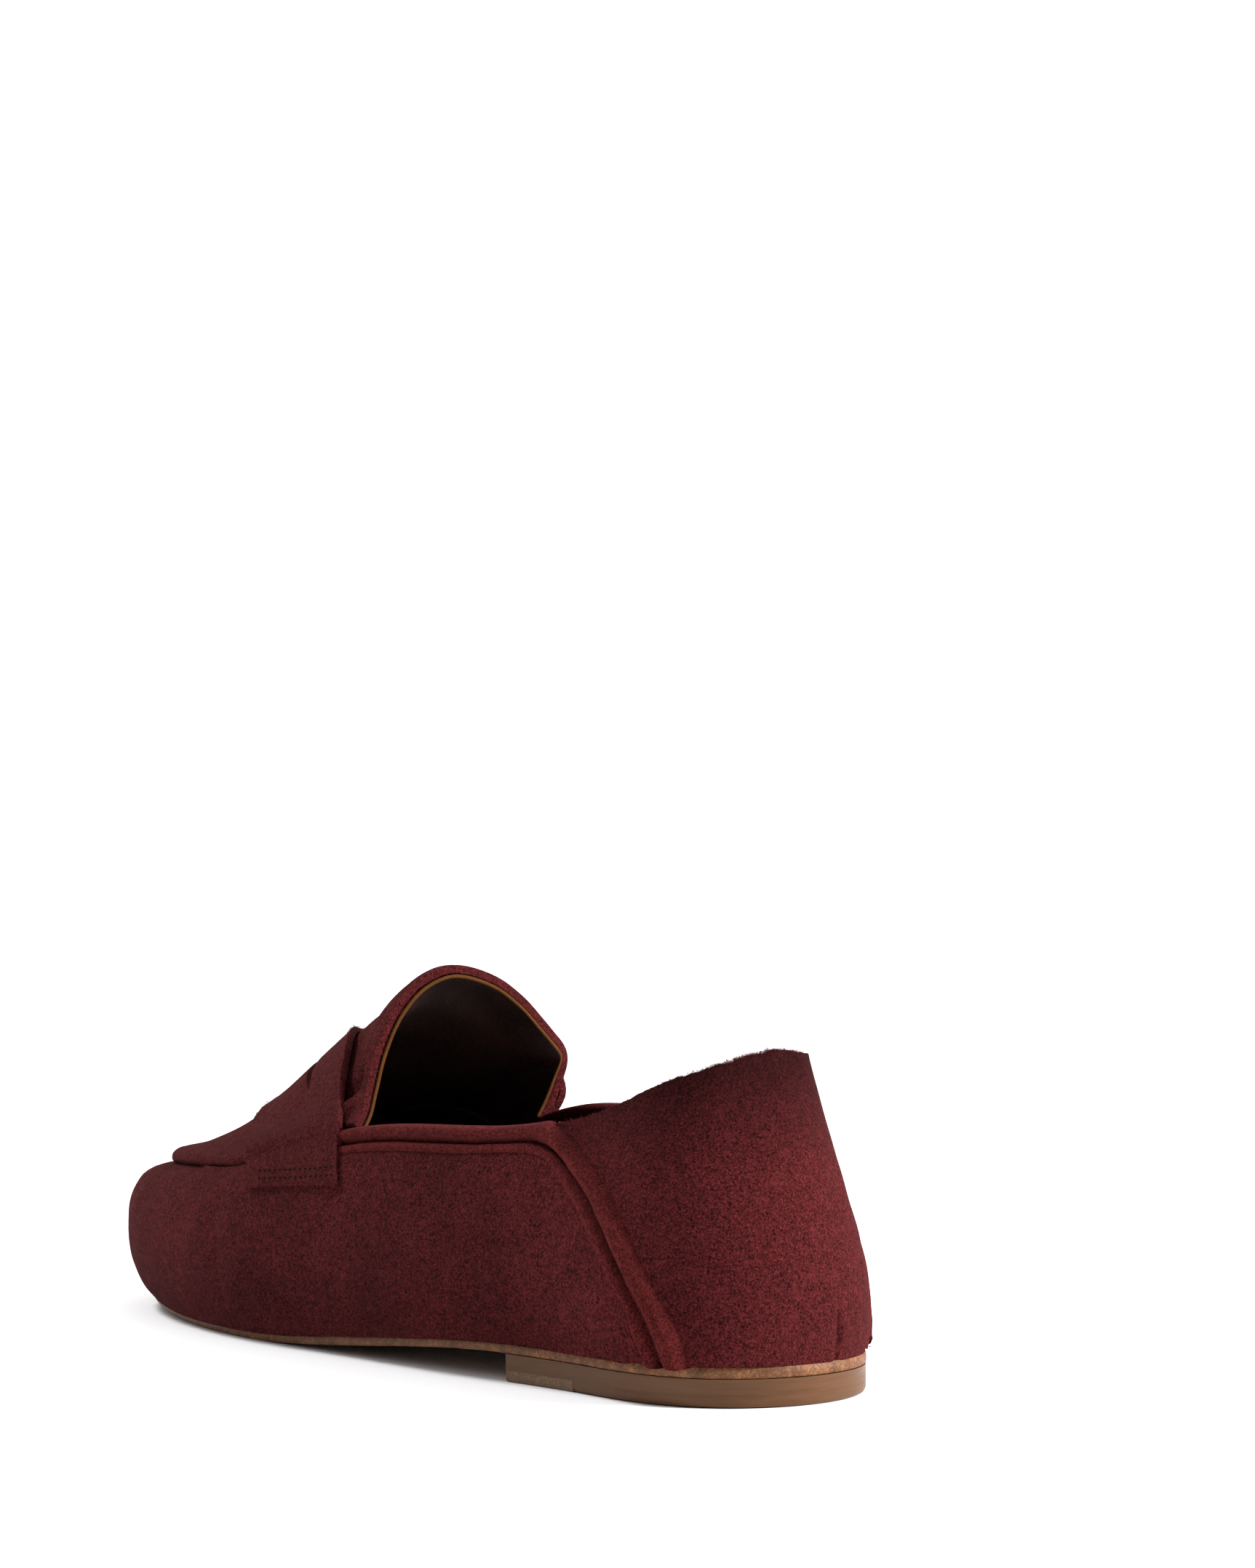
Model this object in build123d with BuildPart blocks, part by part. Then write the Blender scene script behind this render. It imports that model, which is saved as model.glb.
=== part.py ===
from build123d import *

import os

import numpy as np

# Women's left-foot penny loafer in suede, with a soft back that folds down, on a low leather heel.
#
# Millimetres. +X runs to the toe, +Y to the outer side of the foot, +Z up. The origin is the centre of the
# heel on the ground. The upper pieces share one form: a wall that leans in round the outline of the sole,
# and arched sections over the instep. Each piece is a thin layer of that form, cut to its own outline.

# ---- Driving dimensions ------------------------------------------------------------------------------

HEEL_HEIGHT = 5.8  # under the outsole
OUTSOLE = 2.6
TOP_PIECE = 2.4
HEEL_BREAST = 36.0
BREAST_HOLLOW = 3.0
TOP_PIECE_JOINT = 15.0  # rubber behind it, leather in front of it
TREAD_START = 128.0  # from here to TREAD_END the outsole lies on the ground
TREAD_END = 150.0
TOE_X = 223.6
TOE_SPRING = 6.0

NAIL_RADIUS = 0.8
NAIL_CIRCLE = 18.0
NAIL_COUNT = 5
NAIL_SINK = 0.4  # the nails' heads lie this far inside the top piece
NAIL_FIT = 0.05

GAP = 0.1
FILLER = 1.2
INSOLE = 1.6
CUSHION = 2.4
SOCK = 1.1
INSOLE_INSET = -3.0  # from the form's foot
WAIST_START = 42.0  # the shank lies behind this place's front end and the filler in front of it
WAIST_END = 98.0
SHANK_WIDTH = 13.0
CUSHION_FRONT = 48.0

SUEDE = 1.8
BACK_SUEDE = 1.5
LINING = 1.0
TOE_PUFF = 0.55
TOE_PUFF_X = 176.0
BINDING = 3.1
COLLAR_WIDTH = 4.0
APRON_LIP = 2.1  # the apron reaches this far over the wall's top edge

THROAT = 105.8  # the tongue's rear edge
SKEW = 0.283  # the throat and the instep sections run across the shoe at this slope

CREASE = (-20.5, 19.0)  # X and Z of the axis that the back folds about
FLAP_HALF_WIDTH = 14.0
FLAP_GAP = 0.4
BACK_FRONT = 40.0  # the front edge of the back, under the quarters

# One row for each station round the shoe, from the back of the heel along the outer side to the toe, and
# home on the inner side: the sole's edge (x, y), the height of the form's top edge, and how far the form
# stands out from the sole's edge at a third of its height, at two thirds and at the top.
STATIONS = [
    (-27.5, 0.0, 70.5, 4.2, -10.0, -15.7),
    (-21.1, 17.7, 67.5, 4.0, -9.0, -14.0),
    (-5.0, 27.0, 63.3, 3.5, -5.0, -9.0),
    (18.0, 29.5, 55.6, 3.4, -1.8, -5.2),
    (50.0, 34.3, 51.7, 3.8, -0.6, -4.6),
    (82.0, 38.2, 50.0, 4.0, 0.2, -4.8),
    (112.0, 41.2, 44.5, 4.8, 1.0, -4.6),
    (136.0, 42.8, 39.0, 5.6, 1.4, -4.4),
    (160.0, 40.8, 37.2, 6.2, 1.4, -4.8),
    (185.0, 35.2, 35.8, 6.8, 1.2, -5.2),
    (205.0, 25.6, 34.6, 7.2, 0.9, -5.8),
    (218.5, 10.8, 34.0, 7.4, 0.4, -6.8),
    (223.6, -4.0, 33.8, 7.4, 0.2, -7.4),
    (219.5, -18.0, 34.2, 7.2, 0.4, -7.0),
    (206.5, -31.0, 35.0, 6.8, 0.8, -6.2),
    (184.5, -40.5, 36.2, 6.2, 1.0, -5.6),
    (157.5, -44.0, 38.6, 5.6, 1.0, -5.2),
    (127.5, -39.8, 45.0, 4.6, 0.6, -6.0),
    (95.0, -32.0, 51.0, 3.8, 0.4, -3.8),
    (62.0, -27.6, 52.0, 3.6, 0.2, -3.0),
    (30.0, -27.2, 52.6, 3.4, -0.6, -3.4),
    (2.0, -27.7, 61.5, 3.4, -4.4, -8.0),
    (-20.0, -18.9, 67.3, 4.0, -9.0, -14.0),
]
COUNT = len(STATIONS)
TOE_ROW = 12
BACK_FOOT_INSET = -0.6  # the form's foot from the sole's edge, at the back
WALL_FOOT_INSET = -2.3  # and everywhere else

# The instep: one row for each arched section, by its distance along the shoe. The ridge (y, z), then for
# the outer and the inner half the two handles of its curve, as shares of that half's width and height.
INSTEP = [
    (THROAT, -1.5, 82.2, (0.35, 0.22, 0.65, 0.0), (-0.47, 0.35, 1.11, -0.235)),
    (118.0, -1.0, 79.8, (0.36, 0.17, 0.58, 0.0), (-0.25, 0.30, 0.90, -0.15)),
    (136.0, 0.5, 71.2, (0.34, 0.10, 0.44, 0.0), (0.05, 0.15, 0.60, -0.04)),
    (156.0, 1.5, 58.5, (0.30, 0.05, 0.36, 0.0), (0.18, 0.08, 0.42, 0.0)),
    (178.0, 1.5, 46.8, (0.32, 0.10, 0.38, 0.0), (0.28, 0.10, 0.42, 0.0)),
    (196.0, 0.0, 39.4, (0.34, 0.30, 0.42, 0.0), (0.33, 0.30, 0.45, 0.0)),
    (212.0, -2.0, 34.8, (0.34, 0.40, 0.42, 0.0), (0.34, 0.40, 0.45, 0.0)),
    (228.0, -3.0, 32.2, (0.34, 0.40, 0.42, 0.0), (0.34, 0.40, 0.45, 0.0)),
]
SEAM_HOLD = 197.0  # past here the sections keep their width, and the apron's outline trims them

# Side views, from the sole up to the collar: the rolled edge's rear line, and the quarter's rear line.
EDGE_LINE = [(-16.0, 6.0), (-15.0, 15.0), (-10.5, 23.0), (-3.0, 33.0)]
EDGE_LINE += [(4.5, 41.3), (14.5, 47.7), (27.0, 53.0)]
GROOVE_LINE = [(-9.5, 6.0), (-5.5, 17.0), (-2.0, 22.5), (6.4, 33.0), (16.0, 41.5), (27.0, 47.2)]
COLLAR_FRONT = 96.5
INNER_COLLAR_FRONT = 113.0

# The strap's back and front edges over the outer half, as (distance along the shoe, y). The inner half
# mirrors them. The hem is where its lower ends stop, in side view.
STRAP_BACK = [(147.5, 0.0), (143.0, 7.0), (134.2, 15.0), (122.8, 24.0)]
STRAP_BACK += [(113.3, 33.0), (105.9, 42.0), (101.5, 48.0)]
STRAP_FRONT = [(180.0, 0.0), (174.5, 9.0), (165.7, 20.0), (156.0, 30.0), (145.8, 38.0), (136.0, 48.0)]
STRAP_HEM = [(60.0, 40.6), (93.0, 36.9), (131.0, 33.3), (170.0, 30.2)]
TONGUE_JOINT = [(168.0, 0.0), (163.0, 10.0), (154.0, 20.0), (144.0, 30.0), (134.0, 38.0), (124.0, 48.0)]
SLOT_MIDDLE = 157.5
SLOT_SWEEP = 0.165  # how fast the slot bends back from its middle
SLOT_HALF = 18.5
SLOT_WIDTH = 4.6
STRAP_LIFT = 2.15  # from the form to the strap's underside, on the ridge
STRAP_EASE = 1.5  # and this much more at the seam
INNER_ROOM = 1.1  # the strap stands off the inner wall, where the tongue bulges


# ---- The form ----------------------------------------------------------------------------------------


def closed_spline_bends(rows, steps):
    """Second derivatives of the smooth closed curve through the rows."""
    count = len(rows)
    matrix = np.zeros((count, count))
    right = np.zeros_like(rows)
    for i in range(count):
        after = steps[i]
        before = steps[i - 1]
        matrix[i, i - 1] += before / 6
        matrix[i, i] += (before + after) / 3
        matrix[i, (i + 1) % count] += after / 6
        right[i] = (rows[(i + 1) % count] - rows[i]) / after - (rows[i] - rows[i - 1]) / before
    return np.linalg.solve(matrix, right)


ROWS = np.array(STATIONS)
STEPS = np.linalg.norm(np.roll(ROWS, -1, 0)[:, :2] - ROWS[:, :2], axis=1) ** 0.5
BENDS = closed_spline_bends(ROWS, STEPS)


def form_at(row):
    """The station values at a row number, which may lie between rows."""
    i = int(np.floor(row)) % COUNT
    j = (i + 1) % COUNT
    b = row - np.floor(row)
    a = 1 - b
    straight = a * ROWS[i] + b * ROWS[j]
    curved = (a**3 - a) * BENDS[i] + (b**3 - b) * BENDS[j]
    return straight + curved * STEPS[i] ** 2 / 6


def outward(row):
    """The horizontal direction out of the shoe at a row number."""
    ahead = form_at(row + 0.01)[:2] - form_at(row - 0.01)[:2]
    return np.array([-ahead[1], ahead[0]]) / np.linalg.norm(ahead)


def ease(value, start, end):
    """Goes smoothly from 0 at the start to 1 at the end."""
    share = min(1.0, max(0.0, (value - start) / (end - start)))
    return share * share * (3 - 2 * share)


def sole_bottom(x):
    """The underside of the outsole: level over the heel, down to the tread, and up to the toe."""
    if x < TREAD_START:
        return HEEL_HEIGHT * (1 - ease(x, HEEL_BREAST, TREAD_START))
    return TOE_SPRING * max(0.0, (x - TREAD_END) / (TOE_X - TREAD_END)) ** 2


def sole_top(x):
    return sole_bottom(x) + OUTSOLE


def form_inset(x):
    """How far the form's foot stands in from the sole's edge, as a negative outset."""
    return BACK_FOOT_INSET + (WALL_FOOT_INSET - BACK_FOOT_INSET) * ease(x, -12.0, 30.0)


def insole_outset(x):
    return form_inset(x) + INSOLE_INSET


def bezier(points, share):
    """A point of the cubic curve with two ends and two handles."""
    a = 1 - share
    b = share
    first, second, third, fourth = points
    return a**3 * first + 3 * a * a * b * second + 3 * a * b * b * third + b**3 * fourth


def profile(row, share):
    """How far the form stands out from the sole's edge, and its height, at a share of its height."""
    x, _, top, low, high, rim = form_at(row)
    foot = sole_top(x) + GAP
    return bezier((form_inset(x), low, high, rim), share), foot + (top - foot) * share


def form_point(row, share, lift=0.0):
    """A point of the form's wall, moved outward by a lift."""
    out, height = profile(row, share)
    x, y = form_at(row)[:2] + outward(row) * (out + lift)
    return np.array([x, y, height])


OUTER_RIM = np.array([form_point(row, 1.0) for row in np.linspace(0, TOE_ROW, 150)])
INNER_RIM = np.array([form_point(row, 1.0) for row in np.linspace(COUNT, TOE_ROW, 150)])


def along(point):
    """How far along the shoe a point lies, measured square to the instep sections."""
    return point[0] + SKEW * point[1]


def crossing(points, distance):
    """Where a line of points crosses an instep section: (y, z)."""
    reached = [along(point) for point in points]
    return np.array([np.interp(distance, reached, [point[k] for point in points]) for k in (1, 2)])


INSTEP_ROWS = np.array([[*station[:3], *station[3], *station[4]] for station in INSTEP])


def instep_at(distance):
    """The instep's ridge and handles at a distance along the shoe, smoothly between the stations."""
    slopes = np.gradient(INSTEP_ROWS, INSTEP_ROWS[:, 0], axis=0)
    i = int(np.clip(np.searchsorted(INSTEP_ROWS[:, 0], distance) - 1, 0, len(INSTEP_ROWS) - 2))
    step = INSTEP_ROWS[i + 1, 0] - INSTEP_ROWS[i, 0]
    b = (distance - INSTEP_ROWS[i, 0]) / step
    first = INSTEP_ROWS[i] + slopes[i] * step / 3
    second = INSTEP_ROWS[i + 1] - slopes[i + 1] * step / 3
    return bezier((INSTEP_ROWS[i], first, second, INSTEP_ROWS[i + 1]), b)


def instep_half(distance, side, shares):
    """One half of an arched section, from the seam up to the ridge, as (y, z) points."""
    values = instep_at(distance)
    ridge = values[1:3]
    low_y, low_z, high_y, high_z = values[3:7] if side > 0 else values[7:]
    seam = crossing(OUTER_RIM if side > 0 else INNER_RIM, min(distance, SEAM_HOLD))
    seam[1] -= max(0.0, distance - SEAM_HOLD) * 0.05
    width = abs(seam[0] - ridge[0])
    height = ridge[1] - seam[1]
    first = seam + np.array([-side * low_y * width, low_z * height])
    second = ridge + np.array([side * high_y * width, high_z * height])
    return [bezier((seam, first, second, ridge), share) for share in shares]


# ---- Sketches and layers -----------------------------------------------------------------------------


def outline_sketch(outset):
    """The sole's outline moved outward, on the ground. The outset is a function of x."""
    points = [tuple(form_at(row)[:2] + outward(row) * outset(form_at(row)[0])) for row in range(COUNT)]
    with BuildSketch() as flat:
        with BuildLine():
            Spline(*points, periodic=True)
        make_face()
    return flat.sketch


def rim_sketch(outset):
    """The plan of the form's top edge moved outward, on the ground."""
    points = [tuple(form_point(row, 1.0, outset)[:2]) for row in range(COUNT)]
    with BuildSketch() as flat:
        with BuildLine():
            Spline(*points, periodic=True)
        make_face()
    return flat.sketch


SOLE_FIRST = -45.0
SOLE_LAST = 245.0


def sole_layer(bottom, top, first=SOLE_FIRST, last=SOLE_LAST, lift=lambda x: 0.0):
    """A side view of a layer that follows the outsole, by its heights over the outsole."""
    stops = [x for x in np.linspace(-40, 240, 29) if first + 4 < x < last - 4]
    low = [(x, sole_top(x) + bottom + lift(x)) for x in [first, *stops, last]]
    high = [(x, sole_top(x) + top + lift(x)) for x in [first, *stops, last]]
    with BuildSketch(Plane.XZ) as band:
        with BuildLine():
            Spline(*low)
            Line(low[-1], high[-1])
            Spline(*high)
            Line(high[0], low[0])
        make_face()
    return band.sketch


def slice_between(plane, inner, outer):
    """A thin slice on a plane between two curves given as points."""
    with BuildSketch(plane) as cut:
        with BuildLine():
            Spline(*[tuple(point) for point in outer])
            Line(tuple(outer[-1]), tuple(inner[-1]))
            Spline(*[tuple(point) for point in inner])
            Line(tuple(inner[0]), tuple(outer[0]))
        make_face()
    return cut.sketch


def wall_slices(rows, inner_face, outer_face, low=0.0, high=1.0):
    """Upright slices of a layer of the wall. Each face's lift from the form is a function of x."""
    slices = []
    for row in rows:
        side = outward(row)
        x, y = form_at(row)[:2]
        plane = Plane(origin=(x, y, 0), x_dir=(*side, 0), z_dir=(side[1], -side[0], 0))
        curve = [np.array(profile(row, share)) for share in np.linspace(low, high, 7)]
        inner = [point + (inner_face(x), 0) for point in curve]
        outer = [point + (outer_face(x), 0) for point in curve]
        slices.append(slice_between(plane, inner, outer))
    return slices


def instep_plane(distance):
    """The upright plane of one instep section. Its own x runs across the shoe."""
    across = (1 + SKEW**2) ** 0.5
    x_dir = (-SKEW / across, 1 / across, 0)
    return Plane(origin=(distance, 0, 0), x_dir=x_dir, z_dir=(1 / across, SKEW / across, 0))


def lifted(curve, amount):
    """A curve of (y, z) points, from the outer side to the inner side, moved outward along its normals."""
    ahead = np.gradient(curve, axis=0)
    normals = np.stack([-ahead[:, 1], ahead[:, 0]], axis=1)
    normals /= np.linalg.norm(normals, axis=1)[:, None]
    return curve - normals * amount


def in_plane(curve):
    """A curve of (y, z) points in the coordinates of its instep plane."""
    return np.array(curve) * ((1 + SKEW**2) ** 0.5, 1.0)


def instep_slices(first, last, inside, outside, reach=0.0):
    """Slices of a layer of the instep. The reach carries its edges out past the seam."""
    slices = []
    shares = np.linspace(0, 1, 9)
    for distance in np.linspace(first, last, round((last - first) / SECTION_STEP) + 1):
        outer_half = instep_half(distance, 1, shares)
        inner_half = instep_half(distance, -1, shares)
        curve = np.array(outer_half + inner_half[-2::-1])
        curve[0] += (reach, 0)
        curve[-1] -= (reach, 0)
        curve = in_plane(curve)
        slices.append(slice_between(instep_plane(distance), lifted(curve, inside), lifted(curve, outside)))
    return slices


def side_region(points):
    """A closed polygon in side view."""
    with BuildSketch(Plane.XZ) as region:
        with BuildLine():
            Polyline(*points, close=True)
        make_face()
    return region.sketch


def rim_height(x, side):
    rim = OUTER_RIM if side > 0 else INNER_RIM
    return float(np.interp(x, rim[:, 0], rim[:, 2]))


def collar_line(side, drop):
    """Points along the collar, in side view, below its top edge."""
    return [(x, rim_height(x, side) - drop) for x in (38.0, 50.0, 62.0, 74.0, 86.0, 100.0, 116.0)]


SECTION_STEP = 7.0
ROW_STEP = 0.5
WALL_TOP = 0.97  # the wall stops at this share of the form's height, under the apron's lip
ABOVE = 100.0
FAR = 250.0
BEHIND = -40.0
BELOW = -10.0
HALF_PLAN = 32.0
HALF_BLOCK = 80.0
SOLE_BLOCK = 30.0  # taller than all the layers under the foot


# ---- Heel and sole -----------------------------------------------------------------------------------


def heel_plan(inset, first, last, hollow=0.0):
    """The heel's outline between two places along the shoe. Its front may be hollow."""
    with BuildSketch() as plan:
        add(outline_sketch(lambda x: inset))
        with BuildSketch(mode=Mode.INTERSECT):
            with BuildLine():
                Polyline((last, HALF_PLAN), (first, HALF_PLAN), (first, -HALF_PLAN), (last, -HALF_PLAN))
                if hollow:
                    ThreePointArc((last, -HALF_PLAN), (last - hollow, 0), (last, HALF_PLAN))
                else:
                    Line((last, -HALF_PLAN), (last, HALF_PLAN))
            make_face()
    return plan.sketch


with BuildPart() as outsole:
    extrude(outline_sketch(lambda x: 0.0), amount=SOLE_BLOCK)
    extrude(sole_layer(-OUTSOLE, 0), amount=HALF_BLOCK, both=True, mode=Mode.INTERSECT)

with BuildPart() as heel_lift:
    with BuildSketch(Plane.XY.offset(TOP_PIECE)):
        add(heel_plan(-0.3, BEHIND, HEEL_BREAST, BREAST_HOLLOW))
    extrude(amount=HEEL_HEIGHT - TOP_PIECE)
    with Locations((0, 0, HEEL_HEIGHT)):
        with PolarLocations(NAIL_CIRCLE, NAIL_COUNT, start_angle=90, angular_range=180):
            Hole(NAIL_RADIUS + NAIL_FIT)

with BuildPart() as heel_top_rubber:
    extrude(heel_plan(-0.2, BEHIND, TOP_PIECE_JOINT), amount=TOP_PIECE)
    with PolarLocations(NAIL_CIRCLE, NAIL_COUNT, start_angle=90, angular_range=180):
        Hole(NAIL_RADIUS + NAIL_FIT)

with BuildPart() as heel_top_leather:
    extrude(heel_plan(-0.2, TOP_PIECE_JOINT + GAP, HEEL_BREAST, BREAST_HOLLOW), amount=TOP_PIECE)

with BuildPart() as heel_nails:
    with BuildSketch(Plane.XY.offset(NAIL_SINK)):
        with PolarLocations(NAIL_CIRCLE, NAIL_COUNT, start_angle=90, angular_range=180):
            Circle(NAIL_RADIUS)
    extrude(amount=HEEL_HEIGHT - NAIL_SINK)

with BuildPart() as bottom_filler:
    extrude(outline_sketch(lambda x: insole_outset(x) - 2.0), amount=SOLE_BLOCK)
    extrude(sole_layer(GAP, FILLER), amount=HALF_BLOCK, both=True, mode=Mode.INTERSECT)
    with BuildSketch() as shank_bed:
        with Locations(((WAIST_START + WAIST_END) / 2, 0)):
            SlotOverall(WAIST_END - WAIST_START + 2 * GAP, SHANK_WIDTH + 2 * GAP)
    extrude(shank_bed.sketch, amount=SOLE_BLOCK, mode=Mode.SUBTRACT)

with BuildPart() as shank:
    with BuildSketch() as shank_plan:
        with Locations(((WAIST_START + WAIST_END) / 2, 0)):
            SlotOverall(WAIST_END - WAIST_START, SHANK_WIDTH)
    extrude(shank_plan.sketch, amount=SOLE_BLOCK)
    extrude(sole_layer(GAP, FILLER), amount=HALF_BLOCK, both=True, mode=Mode.INTERSECT)

with BuildPart() as insole_board:
    extrude(outline_sketch(insole_outset), amount=SOLE_BLOCK)
    extrude(sole_layer(FILLER + GAP, FILLER + INSOLE), amount=HALF_BLOCK, both=True, mode=Mode.INTERSECT)


def cushion_height(x):
    """The foam's thickness under the sock: full under the heel, and gone in front of the arch."""
    return CUSHION * (1 - ease(x, CUSHION_FRONT - 34, CUSHION_FRONT))


with BuildPart() as heel_cushion:
    extrude(outline_sketch(lambda x: insole_outset(x) - 1.0), amount=SOLE_BLOCK)
    floor = FILLER + INSOLE + GAP
    with BuildSketch(Plane.XZ) as wedge:
        stops = np.linspace(-45, CUSHION_FRONT - 6, 14)
        low = [(x, sole_top(x) + floor) for x in stops]
        high = [(x, sole_top(x) + floor + cushion_height(x) - GAP) for x in stops]
        with BuildLine():
            Spline(*low)
            Line(low[-1], high[-1])
            Spline(*high)
            Line(high[0], low[0])
        make_face()
    extrude(wedge.sketch, amount=HALF_BLOCK, both=True, mode=Mode.INTERSECT)

with BuildPart() as sock_lining:
    extrude(outline_sketch(insole_outset), amount=SOLE_BLOCK)
    floor = FILLER + INSOLE + GAP
    extrude(
        sole_layer(floor, floor + SOCK, lift=lambda x: cushion_height(x)),
        amount=HALF_BLOCK,
        both=True,
        mode=Mode.INTERSECT,
    )


# ---- The wall of the upper ---------------------------------------------------------------------------


def wall_inner(x):
    return GAP


def wall_outer(x):
    return SUEDE + GAP


def quarter_side_view(line, side, offset=0.0):
    """The part of the side view that lies in front of a rear line and under the collar's binding."""
    collar = collar_line(side, COLLAR_WIDTH)
    front_x = COLLAR_FRONT if side > 0 else INNER_COLLAR_FRONT
    collar = [point for point in collar if point[0] < front_x - 4]
    rear = [(x + offset, z - offset) for x, z in line]
    top = [(front_x, rim_height(front_x, side) - COLLAR_WIDTH), (front_x, ABOVE)]
    return side_region([(rear[0][0], BELOW), *rear, *collar, *top, (FAR, ABOVE), (FAR, BELOW)])


def binding_side_view(side):
    """The rolled edge's band in side view."""
    collar = collar_line(side, COLLAR_WIDTH - GAP)
    front_x = COLLAR_FRONT if side > 0 else INNER_COLLAR_FRONT
    collar = [point for point in collar if point[0] < front_x - 4]
    end = (front_x - GAP, rim_height(front_x, side) - COLLAR_WIDTH + GAP)
    lower = [(x - GAP, z + GAP) for x, z in GROOVE_LINE]
    above = [(EDGE_LINE[-1][0], ABOVE), (end[0], ABOVE)]
    return side_region([*EDGE_LINE, *above, end, *collar[::-1], *lower[::-1]])


def side_block(outer_view, inner_view):
    """A block with one side view over the outer half of the shoe and another over the inner half."""
    with BuildPart() as block:
        extrude(outer_view, amount=-HALF_BLOCK)
        extrude(inner_view, amount=HALF_BLOCK)
    return block.part


SIDE_ROWS = np.arange(1.0, COUNT - 0.5, ROW_STEP)

QUARTER_BLOCK = side_block(quarter_side_view(GROOVE_LINE, 1), quarter_side_view(GROOVE_LINE, -1))

with BuildPart() as side_wall:
    loft(wall_slices(SIDE_ROWS, wall_inner, wall_outer, high=WALL_TOP))
    add(QUARTER_BLOCK, mode=Mode.INTERSECT)


def binding_slices(rows):
    return wall_slices(rows, wall_inner, lambda x: BINDING + GAP, high=1.0)


with BuildPart() as collar_binding_lateral:
    loft(binding_slices(np.arange(0.5, 6.5, ROW_STEP)))
    extrude(binding_side_view(1), amount=-HALF_BLOCK, mode=Mode.INTERSECT)

with BuildPart() as collar_binding_medial:
    loft(binding_slices(np.arange(16.5, COUNT, ROW_STEP)))
    extrude(binding_side_view(-1), amount=HALF_BLOCK, mode=Mode.INTERSECT)


# ---- The back ----------------------------------------------------------------------------------------

BACK_ROWS = np.arange(-5.0, 5.5, ROW_STEP)


def back_slices():
    return wall_slices(BACK_ROWS, lambda x: -BACK_SUEDE, lambda x: 0.0)


def back_side_view():
    """The back ends under the quarters, a little below the collar."""
    return side_region(
        [
            (BEHIND, BELOW),
            (BACK_FRONT, BELOW),
            (BACK_FRONT, 47.5),
            (27.0, 51.5),
            (27.0, ABOVE),
            (BEHIND, ABOVE),
        ]
    )


with BuildPart() as heel_back_surround:
    loft(back_slices())
    extrude(back_side_view(), amount=HALF_BLOCK, both=True, mode=Mode.INTERSECT)
    with BuildSketch(Plane.XZ) as hole:
        with Locations((BEHIND, CREASE[1] - FLAP_GAP)):
            Rectangle(BEHIND * -1 + 10, ABOVE, align=(Align.MIN, Align.MIN))
    extrude(hole.sketch, amount=FLAP_HALF_WIDTH + FLAP_GAP, both=True, mode=Mode.SUBTRACT)

with BuildPart() as heel_back_flap:
    loft(back_slices())
    with BuildSketch(Plane.XZ) as panel:
        with Locations((BEHIND, CREASE[1])):
            Rectangle(BEHIND * -1 + 10, ABOVE, align=(Align.MIN, Align.MIN))
    extrude(panel.sketch, amount=FLAP_HALF_WIDTH, both=True, mode=Mode.INTERSECT)


# ---- The instep --------------------------------------------------------------------------------------

INSTEP_END = 226.0
TONGUE_END = 178.0
APRON_START = 112.0


def chevron(edge, shift=0.0):
    """An edge given as (distance along the shoe, y) over the outer half, mirrored over the inner half."""
    outer = [(distance + shift - SKEW * y, y) for distance, y in edge[::-1]]
    inner = [(distance + shift + SKEW * y, -y) for distance, y in edge[1:]]
    return outer + inner


def joint_region(to_x, shift):
    """The plan on one side of the joint of the apron and the tongue, out to a given x."""
    line = chevron(TONGUE_JOINT, shift)
    with BuildSketch() as plan:
        with BuildLine():
            Polyline(*line, (line[-1][0], -HALF_BLOCK), (to_x, -HALF_BLOCK))
            Polyline((to_x, -HALF_BLOCK), (to_x, HALF_BLOCK), (line[0][0], HALF_BLOCK), line[0])
        make_face()
    return plan.sketch


with BuildPart() as apron:
    loft(instep_slices(APRON_START, INSTEP_END, GAP, SUEDE + GAP, APRON_LIP))
    extrude(rim_sketch(APRON_LIP), amount=ABOVE, mode=Mode.INTERSECT)
    extrude(joint_region(FAR, GAP), amount=ABOVE, mode=Mode.INTERSECT)

with BuildPart() as tongue:
    loft(instep_slices(THROAT, TONGUE_END, GAP, SUEDE + GAP))
    extrude(joint_region(0.0, 0.0), amount=ABOVE, mode=Mode.INTERSECT)

with BuildPart() as apron_lining:
    loft(instep_slices(APRON_START, INSTEP_END, -LINING, 0.0))
    extrude(rim_sketch(-2 * GAP), amount=ABOVE, mode=Mode.INTERSECT)
    extrude(joint_region(FAR, GAP), amount=ABOVE, mode=Mode.INTERSECT)

with BuildPart() as tongue_lining:
    loft(instep_slices(THROAT, TONGUE_END, -LINING, 0.0))
    extrude(joint_region(0.0, 0.0), amount=ABOVE, mode=Mode.INTERSECT)


# ---- Linings of the wall and the toe puff ------------------------------------------------------------


def lining_outer(x):
    """The lining lies inside the back's front ends, and close under the suede in front of them."""
    return -GAP - TOE_PUFF - (BACK_SUEDE - TOE_PUFF + GAP) * (1 - ease(x, BACK_FRONT + 2, BACK_FRONT + 20))


def lining_inner(x):
    return lining_outer(x) - LINING


def lining_slices(rows):
    return wall_slices(rows, lining_inner, lining_outer, high=0.93)


VAMP_JOINT = 92.0

with BuildPart() as quarter_lining_lateral:
    loft(lining_slices(np.arange(0.5, 6.5, ROW_STEP)))
    lining_view = quarter_side_view(GROOVE_LINE, 1, LINING)
    extrude(lining_view, amount=-HALF_BLOCK, mode=Mode.INTERSECT)
    split(bisect_by=Plane.YZ.offset(VAMP_JOINT), keep=Keep.BOTTOM)

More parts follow.
